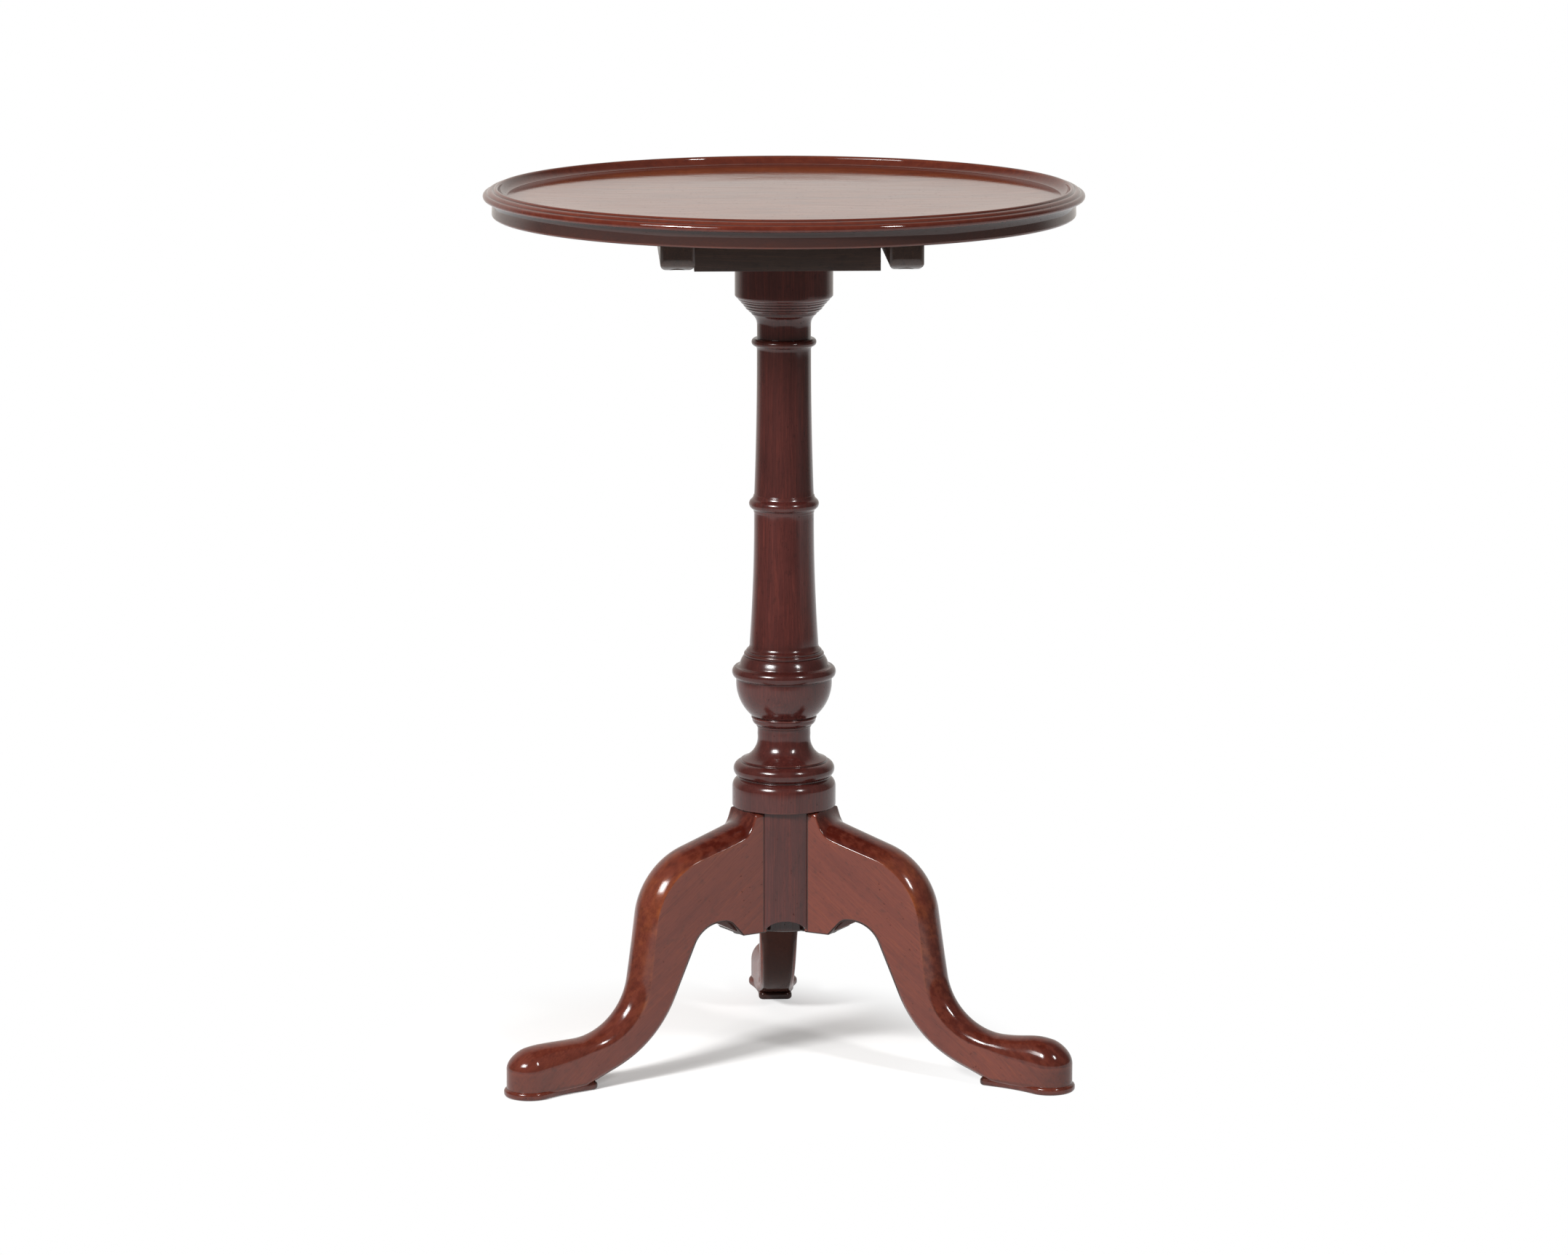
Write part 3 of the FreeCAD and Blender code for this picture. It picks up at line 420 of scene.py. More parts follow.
def linear(code: str) -> tuple[float, float, float, float]:
    """Turn an sRGB hex value into the linear colour that a shader reads.

    Args:
        code: six hex digits after a hash.

    Returns:
        Red, green, blue and alpha.
    """
    parts = [int(code[i:i + 2], 16) / 255 for i in (1, 3, 5)]
    return tuple(p / 12.92 if p <= 0.04045 else ((p + 0.055) / 1.055) ** 2.4 for p in parts) + (1.0,)


def add_node(
    tree: bpy.types.NodeTree, name: str, kind: str, inputs: dict, **settings: str
) -> bpy.types.Node:
    """Add a node under a name, set its properties, and set its inputs or link them to earlier nodes.

    Args:
        tree: the tree that gets the node.
        name: name of the node.
        kind: class name of the node, after ShaderNode.
        inputs: value of each input by name or number. Text is a link: the name of a node, and after a stop
            the name or number of its output.
        settings: properties of the node.

    Returns:
        The node.
    """
    node = tree.nodes.new("ShaderNode" + kind)
    node.name = name
    for key, value in settings.items():
        setattr(node, key, value)
    for key, value in inputs.items():
        if isinstance(value, str):
            source, _, output = value.partition(".")
            outputs = tree.nodes[source].outputs
            tree.links.new(outputs[int(output) if output.isdigit() else output or 0], node.inputs[key])
        else:
            node.inputs[key].default_value = value
    return node


def grow(owner: bpy.types.Material | bpy.types.World, rows: list[tuple]) -> None:
    """Turn on the nodes of a material or a world, clear them and add its own.

    Args:
        owner: the material or the world.
        rows: name, kind, inputs and settings of each node, sources first.
    """
    owner.use_nodes = True
    owner.node_tree.nodes.clear()
    for name, kind, inputs, settings in rows:
        add_node(owner.node_tree, name, kind, inputs, **settings)


SMOOTH = {"interpolation_type": "SMOOTHSTEP"}
COLOUR = {"data_type": "RGBA"}
TIMES = {"operation": "MULTIPLY"}
TIMES_PLUS = {"operation": "MULTIPLY_ADD"}
GREATER = {"operation": "MAXIMUM"}


@dataclass(frozen=True)
class PolishedTimber:
    """Old mahogany under many coats of shellac polish.

    The eye sees a red-brown wood with long faint ribbons, fine streaks and short dark pores, under a
    thin clear gloss that mirrors the white floor on upright faces and catches lamps as small bright
    spots. The wood is lighter and more orange where edges are worn, deep red and mottled where old
    polish lies thick, and near-black and dull where dirt lies in the hollows and where shade is painted
    under, inside and between parts.

    Deep, body and bright are the wood's own colours, bare is worn wood, thick is old polish, and the
    dark colour is dirt in hollows, pores and specks and also painted shade under, inside and between
    parts. Coat is the weight of the clear polish and gloss the specular level of the wood below it. Patch
    is the share of the wear that is left in its faint patches. A name that ends in mm is a real width
    across the grain, but for pores, which are drawn coarser than they are, to show. Sway is how far the
    grain wanders. Ripple is the uneven skin of old polish, and edge_ripple the share of its depth that
    wood without wear keeps.
    """

    name: str
    deep: str
    body: str
    bright: str
    bare: str
    thick: str
    # Colour of dirt, and of the painted shade laid by the grime layer
    dirt_and_shade: str
    coat_roughness: float = 0.12
    coat: float = 1.0
    gloss: float = 0.0
    patch: float = 0.35
    sway_mm: float = 9.0
    ribbon_mm: float = 8.0
    streak_mm: float = 1.4
    pore_mm: float = 0.55
    figure_mm: float = 11.0
    blotch_mm: float = 5.0
    ripple_mm: float = 11.0
    ripple_depth_mm: float = 0.016
    edge_ripple: float = 1.0

    def make(self) -> bpy.types.Material:
        """Build the material from the rows of its pattern, its colour and its surface.

        Returns:
            The material.
        """
        material = bpy.data.materials.new(self.name)
        grow(material, self.pattern() + self.colour() + self.surface())
        return material

    def pattern(self) -> list[tuple]:
        """Nodes for the place in the board and the noises that follow its grain.

        Returns:
            Rows of name, kind, inputs and settings.
        """
        # Where each noise is read, its length along the grain and width across it in mm, and its detail
        noises = {
            "wave": ("plank.Vector", 160.0, 40.0, 2.0),
            "cloud": ("plank.Vector", 70.0, 26.0, 3.0),
            "ribbon": ("bent", 260.0, self.ribbon_mm, 3.0),
            "streak": ("bent", 75.0, self.streak_mm, 3.0),
            "pores": ("bent", 8.0, self.pore_mm, 1.0),
            "figure": ("plank.Vector", 2.4 * self.figure_mm, self.figure_mm, 4.0),
            "blotch": ("plank.Vector", 1.6 * self.blotch_mm, self.blotch_mm, 3.0),
            "specks": ("plank.Vector", 2.4, 1.8, 1.5),
            "ripple": ("plank.Vector", 4.0 * self.ripple_mm, self.ripple_mm, 2.0),
        }
        rows = [(name, "Attribute", {}, {"attribute_name": name}) for name in LAYERS]
        for name, (spot, length, width, detail) in noises.items():
            scale = (1 / length, 1 / width, 1 / width)
            rows.append((name + "_spot", "Mapping", {"Vector": spot, "Scale": scale}, {}))
            noise = {"Vector": name + "_spot", "Scale": 1.0, "Detail": detail, "Roughness": 0.55}
            rows.append((name, "TexNoise", noise, {}))
            if name == "wave":
                sway = {0: "wave.Color", 1: (0.0, self.sway_mm, self.sway_mm), 2: "plank.Vector"}
                rows.append(("bent", "VectorMath", sway, TIMES_PLUS))
        return rows

    def colour(self) -> list[tuple]:
        """Nodes that lay the colours over each other, each by a share that follows a noise or an attribute.

        Returns:
            Rows of name, kind, inputs and settings.
        """
        # Each attribute times a noise brought between two shares: attribute, noise and the limits of both
        broken = {
            "rubbed": ("worn", "figure", 0.36, 0.62, 1.0, self.patch),
            "stained": ("stain", "blotch", 0.36, 0.62, 0.6, 1.0),
            # Dirt and painted shade, broken by the figure noise
            "soiled": ("grime", "figure", 0.3, 0.6, 0.94, 1.0),
        }
        rows = []
        for name, (layer, noise, low, high, least, most) in broken.items():
            limits = {"Value": noise, "From Min": low, "From Max": high, "To Min": least, "To Max": most}
            rows.append((name + "_part", "MapRange", limits, SMOOTH))
            rows.append((name, "Math", {0: layer + ".Fac", 1: name + "_part"}, TIMES))
        # What each layer follows, where its share starts and is full, its fullest share and its colour
        layers = (
            ("rubbed", 0.0, 1.0, 1.0, self.bare),
            ("ribbon", 0.45, 0.75, 0.6, self.deep),
            ("streak", 0.42, 0.78, 0.6, self.bright),
            ("cloud", 0.45, 0.75, 0.4, self.deep),
            ("figure", 0.5, 0.78, 0.35, self.deep),
            ("blotch", 0.56, 0.76, 0.32, self.dirt_and_shade),
            ("pores", 0.58, 0.7, 0.3, self.dirt_and_shade),
            ("stained", 0.0, 1.0, 1.0, self.thick),
            ("specks", 0.7, 0.76, 0.55, self.dirt_and_shade),
            # Dirt and painted shade from the grime layer, mixed toward the dark colour
            ("soiled", 0.0, 1.0, 0.86, self.dirt_and_shade),
        )
        under = linear(self.body)
        for source, low, high, share, code in layers:
            limits = {"Value": source, "From Min": low, "From Max": high, "To Max": share}
            colours = {0: source + "_share", 6: under, 7: linear(code)}
            rows.append((source + "_share", "MapRange", limits, SMOOTH))
            rows.append((source + "_layer", "Mix", colours, COLOUR))
            under = source + "_layer.2"
        return rows

    def surface(self) -> list[tuple]:
        """Nodes for the uneven skin, the base and the clear polish, pitted, and thin where dirt and painted
        shade are full.

        Returns:
            Rows of name, kind, inputs and settings.
        """
        # The polish thins away where dirt and painted shade are full
        thin = {"Value": "grime.Fac", "From Min": 0.93, "From Max": 1.0, "To Min": self.coat, "To Max": 0.0}
        rough = {"Value": "figure", "From Min": 0.35, "From Max": 0.7, "To Min": 0.42, "To Max": 0.55}
        calm = {"Value": "worn.Fac", "From Min": 0.35, "From Max": 0.65, "To Min": self.edge_ripple}
        relief = {"Strength": "calm", "Distance": self.ripple_depth_mm * MM, "Height": "ripple"}
        return [
            ("film", "MapRange", thin, SMOOTH),
            ("pits", "Math", {0: "specks_share", 1: -1.3, 2: 1.0}, TIMES_PLUS),
            ("faint", "Math", {0: "streak_share", 1: -0.3, 2: "pits"}, TIMES_PLUS),
            ("polish", "Math", {0: "film", 1: "faint"}, TIMES),
            ("rough", "MapRange", rough, SMOOTH),
            ("calm", "MapRange", calm, SMOOTH),
            ("skin", "Bump", relief, {}),
            ("shader", "BsdfPrincipled", {
                "Base Color": "soiled_layer.2",
                "Roughness": "rough",
                "IOR": 1.5,
                "Specular IOR Level": self.gloss,
                "Coat Weight": "polish",
                "Coat Roughness": self.coat_roughness,
                "Coat IOR": 1.5,
                "Normal": "skin",
                "Coat Normal": "skin",
            }, {}),
            ("output", "OutputMaterial", {"Surface": "shader"}, {}),
        ]


@dataclass(frozen=True)
class OldMetal:
    """Hand-finished metal that has dulled.

    The eye sees a soft metal shine broken by brown or black tarnish in patches and by fine file marks.
    Cover is how much of the metal the tarnish takes.
    """

    name: str
    clean: str
    tarnish: str
    roughness: float
    patch_mm: float
    cover: float
    mark_mm: float = 0.9
    mark_depth_mm: float = 0.1

    def make(self) -> bpy.types.Material:
        """Build the material: clean metal under patches of tarnish, with a fine uneven skin.

        Returns:
            The material.
        """
        material = bpy.data.materials.new(self.name)
        patches = {"Vector": "spot.Object", "Scale": 1 / (self.patch_mm * MM), "Detail": 5.0}
        marks = {"Vector": "spot.Object", "Scale": 1 / (self.mark_mm * MM), "Detail": 3.0}
        limits = {"Value": "patches", "From Min": 0.62 - self.cover, "From Max": 0.92 - self.cover}
        rough = {"Value": "share", "To Min": self.roughness, "To Max": self.roughness + 0.3}
        relief = {"Strength": 0.25, "Distance": self.mark_depth_mm * MM, "Height": "marks"}
        grow(material, [
            ("spot", "TexCoord", {}, {}),
            ("patches", "TexNoise", patches, {}),
            ("marks", "TexNoise", marks, {}),
            ("share", "MapRange", limits, SMOOTH),
            ("colour", "Mix", {0: "share", 6: linear(self.clean), 7: linear(self.tarnish)}, COLOUR),
            ("shine", "MapRange", {"Value": "share", "To Min": 1.0, "To Max": 0.55}, {}),
            ("rough", "MapRange", rough, {}),
            ("skin", "Bump", relief, {}),
            ("shader", "BsdfPrincipled", {
                "Base Color": "colour.2", "Metallic": "shine", "Roughness": "rough", "Normal": "skin"
            }, {}),
            ("output", "OutputMaterial", {"Surface": "shader"}, {}),
        ])
        return material


# Carved and French polished: a clear red gloss, orange where the knees and arrises are rubbed
LEG_MAHOGANY = PolishedTimber(
    "french_polished_mahogany", deep="#57261e", body="#693125", bright="#7a3f2c", bare="#8c4a28",
    thick="#40130c", dirt_and_shade="#281d1a", coat_roughness=0.13
)
# The same at the back, where the polish has faded: half the gloss
DULL_MAHOGANY = replace(LEG_MAHOGANY, name="dull_polished_mahogany", coat=0.55)
# Turned and polished in the lathe: a darker brown-red with fine streaks and an even sheen
PILLAR_MAHOGANY = PolishedTimber(
    "turned_mahogany", deep="#361614", body="#47211e", bright="#622f28", bare="#653124", thick="#3a1613",
    dirt_and_shade="#1a1110", coat_roughness=0.17, ripple_depth_mm=0.002
)
# Dished, scraped and highly polished: it mirrors its surroundings, rippled on the floor, calm on the rim
TRAY_MAHOGANY = PolishedTimber(
    "dished_mahogany_board", deep="#4b2018", body="#5d281b", bright="#6d3420", bare="#8a4d2e",
    thick="#4a1a10", dirt_and_shade="#2a2322", coat_roughness=0.06, patch=0.8, ripple_mm=6.0, ripple_depth_mm=0.03,
    edge_ripple=0.12
)
# Planed, waxed and browned by air: a dull grey-brown without red
BLOCK_TIMBER = PolishedTimber(
    "oxidised_mahogany", deep="#2e1f19", body="#3f2b23", bright="#54392c", bare="#7a3d22", thick="#2a1815",
    dirt_and_shade="#151010", coat_roughness=0.2, coat=0.55, gloss=0.3
)
# Forged and blackened, cast and filed, and drawn for screws: brown-black, dull yellow and dull grey
IRON = OldMetal("forged_iron", "#5a5654", "#2a211c", roughness=0.42, patch_mm=9.0, cover=0.25)
BRASS = OldMetal("dulled_cast_brass", "#ab894f", "#574023", roughness=0.3, patch_mm=7.0, cover=0.12)
STEEL = OldMetal("dulled_screw_steel", "#77706a", "#33281f", roughness=0.38, patch_mm=3.0, cover=0.2)


# Pieces


def dress(piece: bpy.types.Object, material: bpy.types.Material, body: str, node: str) -> None:
    """Give a piece its finish, tie it to its body and let it stand for its CAD node.

    Args:
        piece: the piece.
        material: its finish.
        body: CAD body that it moves with.
        node: CAD node that it stands for.
    """
    piece.data.materials.clear()
    piece.data.materials.append(material)
    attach(piece, body)
    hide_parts(node)
    log.info("%s: %d faces on %s", piece.name, len(piece.data.polygons), body)


@dataclass
class Pillar:
    """The turned pillar: three-sided hub, drum, urn, tapered shafts with rings, bell, collar and tenon.

    Members are the rise, radius and bulge of each run of the outline. The painted shade and old_polish
    are pairs of height and amount; the painted shade is the tray's shade over the upper shaft and the
    turnings above it, with a darker band over the cap. Edge_wear and hollow_dirt are the gain, free bend
    and most of by_bend.
    """

    hub_foot: float = 110.0
    hub_top: float = 210.0
    hub_radius: float = 37.29
    hub_flat: float = 31.6
    hub_edge: float = 0.6
    hub_rows: int = 20
    leg_half: float = 19.8
    scallop_width: float = 39.0
    scallop_height: float = 10.3
    scallop_depth: float = 7.0
    scallop_onset: float = 2.0
    scallop_rows: int = 5
    # Painted shade in the scallops and under the hub
    scallop_shade: float = 0.8
    joint_dirt: float = 0.6
    joint_width: float = 0.8
    drum_lap: float = 3.0
    # A dark joint under the drum, darkened further as painted shade below its overhang
    drum_dirt_and_shade: float = 0.5
    drum_fade: float = 2.0
    columns: int = 180
    board: tuple = (0.0, 310.0, 90.0)
    edge_wear: tuple = (1.2, 0.04, 0.5)
    hollow_dirt: tuple = (-0.9, 0.1, 0.55)
    # Painted shade: the tray's shadow darkening the upper shaft and the turnings above it, and a darker
    # band over the cap, laid into the grime layer
    tray_shade_and_cap_band: tuple = (
        (314, 0), (324, .3), (342, .3), (350, 0), (440, 0), (475, .36), (582, .38), (594, 0), (602, 0),
        (612, .3), (626, 0),
    )
    old_polish: tuple = (
        (224, 0), (232, .6), (272, .6), (284, .15), (312, .1), (318, .6), (342, .5), (352, 0),
    )
    members: tuple = (
        (0, 42, 0), (15, 42, 0), (8, 37.4, .15), (1, 37.4, 0), (12.4, 36, .34), (0, 34.9, 0),
        (1.6, 34.9, 0), (20.5, 21.5, -.19), (6.3, 21.5, -.02), (0, 22.3, 0), (1.6, 22.3, 0),
        (5, 25.8, .18), (2, 26.1, .3), (0, 25.6, 0), (31.6, 38.6, .125), (0, 39, 0), (9.4, 39.6, .29),
        (0, 38.6, 0), (2.3, 35.8, -.2), (6.3, 32.7, .05), (0, 31.8, 0), (3.3, 31.4, .25), (0, 30.4, 0),
        (2.3, 29.6, .25), (4.9, 27.8, -.12), (106.9, 24.1, -.009), (0, 24.5, 0), (2.6, 25.2, -.1),
        (8.4, 25.7, .32), (3.3, 24.5, -.08), (0, 24, 0), (117.3, 21.7, -.005), (3.2, 23, -.1),
        (6.4, 22.8, .5), (0, 21.6, 0), (10.8, 21.6, 0), (8.8, 26.3, -.12), (1.8, 26.6, 0), (0, 28.2, 0),
        (1, 28.4, .2), (2, 31, .1), (.4, 30.6, -.3), (2.2, 32.9, .1), (.4, 32.6, -.3), (2, 35, .1),
        (.4, 34.7, -.3), (1.8, 37, .1), (.4, 36.8, -.3), (2.4, 39.4, .1), (28, 39.4, 0), (0, 17, 0),
        (35.95, 17, 0), (0, 0, 0),
    )

    def build(self) -> bpy.types.Object:
        """Stack the hub's rows and the turned rows into one grid.

        Returns:
            The pillar.
        """
        line = turned_profile((self.hub_radius - self.drum_lap, self.hub_top), self.members)
        profile, curl = finished_profile(line, ease=0.35, turn=9.0, run=9.0)
        hub, hub_dirt_and_shade = self.hub()
        points = np.concatenate([hub, revolved(profile, self.columns)])
        plank = points[..., Grain.UPRIGHT.value] + np.array(self.board)
        clean = np.zeros(hub.shape[:2])
        height = profile[:, 1]
        worn = by_bend(curl, *self.edge_wear)
        # Dirt in the hollows, and the painted shade of the tray by height
        dirt_and_shade = np.maximum(by_bend(curl, *self.hollow_dirt), ramp(height, self.tray_shade_and_cap_band))
        polish = ramp(height, self.old_polish)
        stacks = ((clean, worn), (hub_dirt_and_shade, dirt_and_shade), (clean, polish))
        layers = (np.concatenate([first, ringed(rest, self.columns)]) for first, rest in stacks)
        return make_piece("turned_pillar", [Surface(points, plank, *layers)])

    def hub(self) -> tuple[np.ndarray, np.ndarray]:
        """Rows of the hub from the middle of its underside up to the drum.

        The plan is r = min(hub radius, flat / cos d), d being the angle from the nearest leg. The foot
        of each face between two legs has an arched notch: below height a(x), an arc of the scallop's
        width and height, the radius is less by the scallop's depth.

        Returns:
            The grid and its grime layer: dark joints to the legs, painted shade in the scallops and under
                the hub, and a dark joint with a painted shadow line under the drum.
        """
        turn = np.linspace(0.0, 2 * math.pi, self.columns, endpoint=False)
        third = 2 * math.pi / 3
        to_leg = np.abs((turn - math.pi / 2 + third / 2) % third - third / 2)
        radius = np.minimum(self.hub_radius, self.hub_flat / np.cos(to_leg))
        half, rise = self.scallop_width / 2, self.scallop_height
        bow = (half ** 2 + rise ** 2) / (2 * rise)
        offset = np.minimum(np.abs(self.hub_radius * np.sin(math.pi / 3 - to_leg)), half)
        arch = np.maximum(np.sqrt(bow ** 2 - offset ** 2) - bow + rise, 0.0)
        inner = radius - self.scallop_depth * np.clip(arch / self.scallop_onset, 0, 1)
        foot = np.full(self.columns, self.hub_foot)
        edge, lip = self.hub_edge, 0.3 * self.hub_edge
        wall = foot + arch + edge
        rows = [
            (0 * radius, foot), (inner - 1, foot), (inner, foot + np.minimum(arch, 1)),
            (inner, foot + arch), (radius - edge, foot + arch), (radius - lip, foot + arch + lip),
        ]
        rows += [(radius, wall + (self.hub_top - wall) * s) for s in np.linspace(0, 1, self.hub_rows)]
        ring, height = (np.array(values) for values in zip(*rows))
        points = np.stack([ring * np.cos(turn), ring * np.sin(turn), height], axis=-1)
        corner = math.atan2(self.leg_half, self.hub_flat)
        joint = self.joint_dirt * bell((to_leg - corner) * self.hub_radius, self.joint_width)
        grime = np.tile(joint, (len(rows), 1))
        # Painted shade in the scallops and over the hub's underside
        grime[:self.scallop_rows] = self.scallop_shade
        # A dark joint under the drum, darkened further as painted shade below its overhang
        grime += self.drum_dirt_and_shade * np.exp((height - self.hub_top) / self.drum_fade)
        return points, np.clip(grime, 0, 1)


@dataclass
class TrayTop:
    """The dished board with its moulded rim.

    Members, edge_wear and hollow_dirt are as in the pillar. Handled, the wall's darkening and rim_polish
    are pairs of height and amount.
    """

    under: float = 690.5
    under_wear: float = 0.8
    columns: int = 320
    wall_foot: float = 230.0
    wall_top: float = 703.9
    floor_edge: float = 219.0
    floor_fade: float = 14.0
    floor_wear: float = 0.7
    cove_top: float = 227.6
    cove_polish: float = 0.6
    rim_inner: float = 228.0
    under_skin: float = 0.5
    board: tuple = (900.0, 0.0, 0.0)
    edge_wear: tuple = (0.5, 0.03, 0.4)
    hollow_dirt: tuple = (-1.2, 0.08, 0.7)
    handled: tuple = ((692.5, 1), (694, 0), (707, 0), (709.5, .8))
    wall_darkening: tuple = ((691.5, .4), (693, .92))
    rim_polish: tuple = ((702, 0), (703.5, .9), (707.5, .9), (709.5, .4))
    members: tuple = (
        (0, 231, 0), (2, 233, .2), (3.5, 232.9, 0), (8, 235, -.1), (0, 236.8, 0), (5.2, 236.8, 3.2 / 5.2),
        (2.2, 231.4, .22), (0, 227.6, .5), (-5.3, 219.6, -.15), (-2.8, 143, -.0091), (0, 0, 0),
    )

    def build(self) -> bpy.types.Object:
        """Turn the rim's outline, with the dull underside and the polished floor as discs.

        Returns:
            The tray.
        """
        line = turned_profile((0.0, self.under), self.members)
        profile, curl = finished_profile(line, ease=0.35, turn=8.0, run=14.0)
        points = revolved(profile, self.columns)
        radius, height = profile.T
        below = height < self.under + self.under_skin
        wall = (radius > self.wall_foot) & (height < self.wall_top) & ~below
        cove = (radius > self.floor_edge) & (radius < self.cove_top) & ~below
        floor = np.clip((self.floor_edge - radius) / self.floor_fade, 0, 1) * ~below
        edges = ramp(height, self.handled) * by_bend(curl, *self.edge_wear)
        worn = np.where(below, self.under_wear, np.maximum(edges, self.floor_wear * floor))
        # The underside is dirty, and the wall under the rim is darkened to near black
        dirt_and_shade = np.where(below, 1.0, wall * ramp(height, self.wall_darkening))
        grime = np.maximum(by_bend(curl, *self.hollow_dirt), dirt_and_shade)
        rim = ramp(height, self.rim_polish) * (radius > self.rim_inner)
        stain = np.maximum(self.cove_polish * cove, rim)
        layers = (ringed(layer, self.columns) for layer in (worn, grime, stain))
        return make_piece("dished_tray", [Surface(points, points + np.array(self.board), *layers)])


@dataclass
class Leg:
    """A cabriole leg along +Y with a pad foot and a moulded shoe, turned to its place about the pillar.

    Toe_drop lowers the tip of its toe, toe_lift raises the toe's hump and foot_stain adds old polish to
    its lower half, since the legs were carved and polished by hand. Crest, under and web are places of
    reach and height. The sections, from throat to toe, are half width, crown, chamfer and ease of the
    arris. The fields after them are pairs of reach and amount, but for toe_fade, which is pairs of height
    and amount.
    """

    name: str
    turn: float
    toe_drop: float
    toe_lift: float
    foot_stain: float
    grain_slope: float = -38.0
    board_step: float = 40.0
    sharp: float = 50.0
    tip_spread: float = 17.0
    hump: float = 230.0
    hump_spread: float = 18.0
    tip_rows: int = 24
    corner_cut: float = 0.45
    base_points: int = 5
    flank_points: int = 18
    roof_points: int = 18
    arris_width: float = 1.8
    knee_rub: float = 0.5
    joint_dirt: float = 0.85
    joint_width: float = 0.7
    joint_gap: float = 0.2
    # A dark joint where the leg meets the drum, darkened further as painted shade under the drum
    drum_dirt_and_shade: float = 0.6
    drum_fade: float = 0.8
    # A dark line where the leg sits on the shoe: a dark joint and a painted shadow line
    seam_dirt_and_shade: float = 0.5
    seam_width: float = 1.4
    # The tip of the toe is darker low down
    toe_darkening: float = 0.42
    # Dirt and painted shade on the underside of the leg, strongest below the chamfer
    under_dirt_and_shade: float = 0.97
    under_fade: float = 0.8
    under_start: float = 0.6
    hub_flat: float = 31.6
    root: float = 29.0
    toe_reach: float = 239.8
    toe_base: float = 3.25
    shoe_height: float = 6.5
    shoe_heel: float = 183.4
    shoe_heel_half: float = 14.0
    shoe_heel_round: float = 4.5
    shoe_hollow: float = 120.0
    shoe_radius: float = 20.6
    shoe_edge: float = 2.6
    shoe_wear: float = 0.2
    shoe_wear_below: float = 1.2
    shoe_wear_width: float = 1.3
    # The shoe is darker towards its bottom
    shoe_base_darkening: float = 0.5
    shoe_base_fade: float = 1.6
    shoe_polish: float = 0.55
    # Dirt and painted shade over the heel end of the shoe
    heel_dirt_and_shade: float = 0.93
    heel_depth: float = 8.0
    heel_fade: float = 6.0
    web_half: float = 13.0
    web_edge: float = 0.8
    web_points: int = 90
    # Painted shade over the whole web, which sits in the recess of the arch
    web_shade: float = 0.6
    web: tuple = ((49.2, 110.5), (76.2, 124.0), (76.2, 129.5), (49.2, 129.5))
    crest: tuple = ((39.0, 210.0), (42.5, 201.9), (130.5, 174.1), (154.8, 40.4), (239.8, 40.4))
    crest_radii: tuple = (13.0, 64.0, 52.0)
    under: tuple = ((50.2, 110.0), (62.2, 123.0), (86.6, 123.0), (125.7, 27.4), (194.7, 3.25))
    under_radii: tuple = (11.0, 25.0, 97.0)
    throat: tuple = (19.8, 0.8, 1.2, 3.0)
    shoulder: tuple = (19.8, 10.5, 1.2, 0.5)
    knee: tuple = (18.0, 8.0, 3.8, 0.4)
    ankle: tuple = (15.5, 12.0, 4.4, 0.6)
    instep: tuple = (14.0, 14.0, 5.0, 0.6)
    toe: tuple = (18.5, 18.5, 0.8, 0.4)
    arris_wear: tuple = ((40, .1), (60, .35), (130, .4), (165, .2), (230, .1), (240, 0))
    knee_wear: tuple = ((80, 0), (105, 1), (140, 1), (165, 0))
    old_polish: tuple = (
        (34, 1), (75, .9), (100, .55), (125, .3), (150, .42), (180, .32), (215, .16), (260, .36),
    )
    foot_onset: tuple = ((110, 0), (150, 1))
    under_lag: tuple = ((100, 0), (130, 3.5))
    toe_onset: tuple = ((205, 0), (245, 1))
    toe_fade: tuple = ((19, 1), (27, 0))

    def build(self) -> bpy.types.Object:
        """Make the shank, the arch's web and the shoe, and turn them to the leg's place.

        Returns:
            The leg.
        """
        surfaces = [self.shank(), self.arch_web(), self.shoe()]
        slope = math.radians(self.grain_slope)
        for surface in surfaces:
            side, reach, height = np.moveaxis(surface.points, -1, 0)
            lengthwise = reach * math.cos(slope) + height * math.sin(slope)
            across = height * math.cos(slope) - reach * math.sin(slope)
            start = self.board_step * self.turn
            surface.plank = np.stack([lengthwise + start, across, side + self.turn], axis=-1)
            surface.points = turned_about_axis(surface.points, self.turn)
        return make_piece("cabriole_" + self.name, surfaces, self.sharp)

    def stations(self) -> tuple[np.ndarray, np.ndarray, np.ndarray]:
        """Crest point, underside point and section sizes at every row from the hub to the toe.

        Each span pairs a run of the crest with a run of the underside, both at even distances, and its
        half width, crown, chamfer and arris change evenly from its first to its last station. All are
        then eased.

        Returns:
            Crest, underside and sizes, a row each.
        """
        crest = rounded_path(self.crest, self.crest_radii)
        under = rounded_path(self.under, self.under_radii)
        neck = np.array([(self.crest[0][0], self.under[0][1]), self.under[0]])
        tread = np.array([self.under[-1], (self.toe_reach, self.toe_base)])
        root = np.array([(self.root, self.crest[0][1]), self.crest[0]])
        root_under = np.array([(self.root, self.under[0][1]), neck[0]])
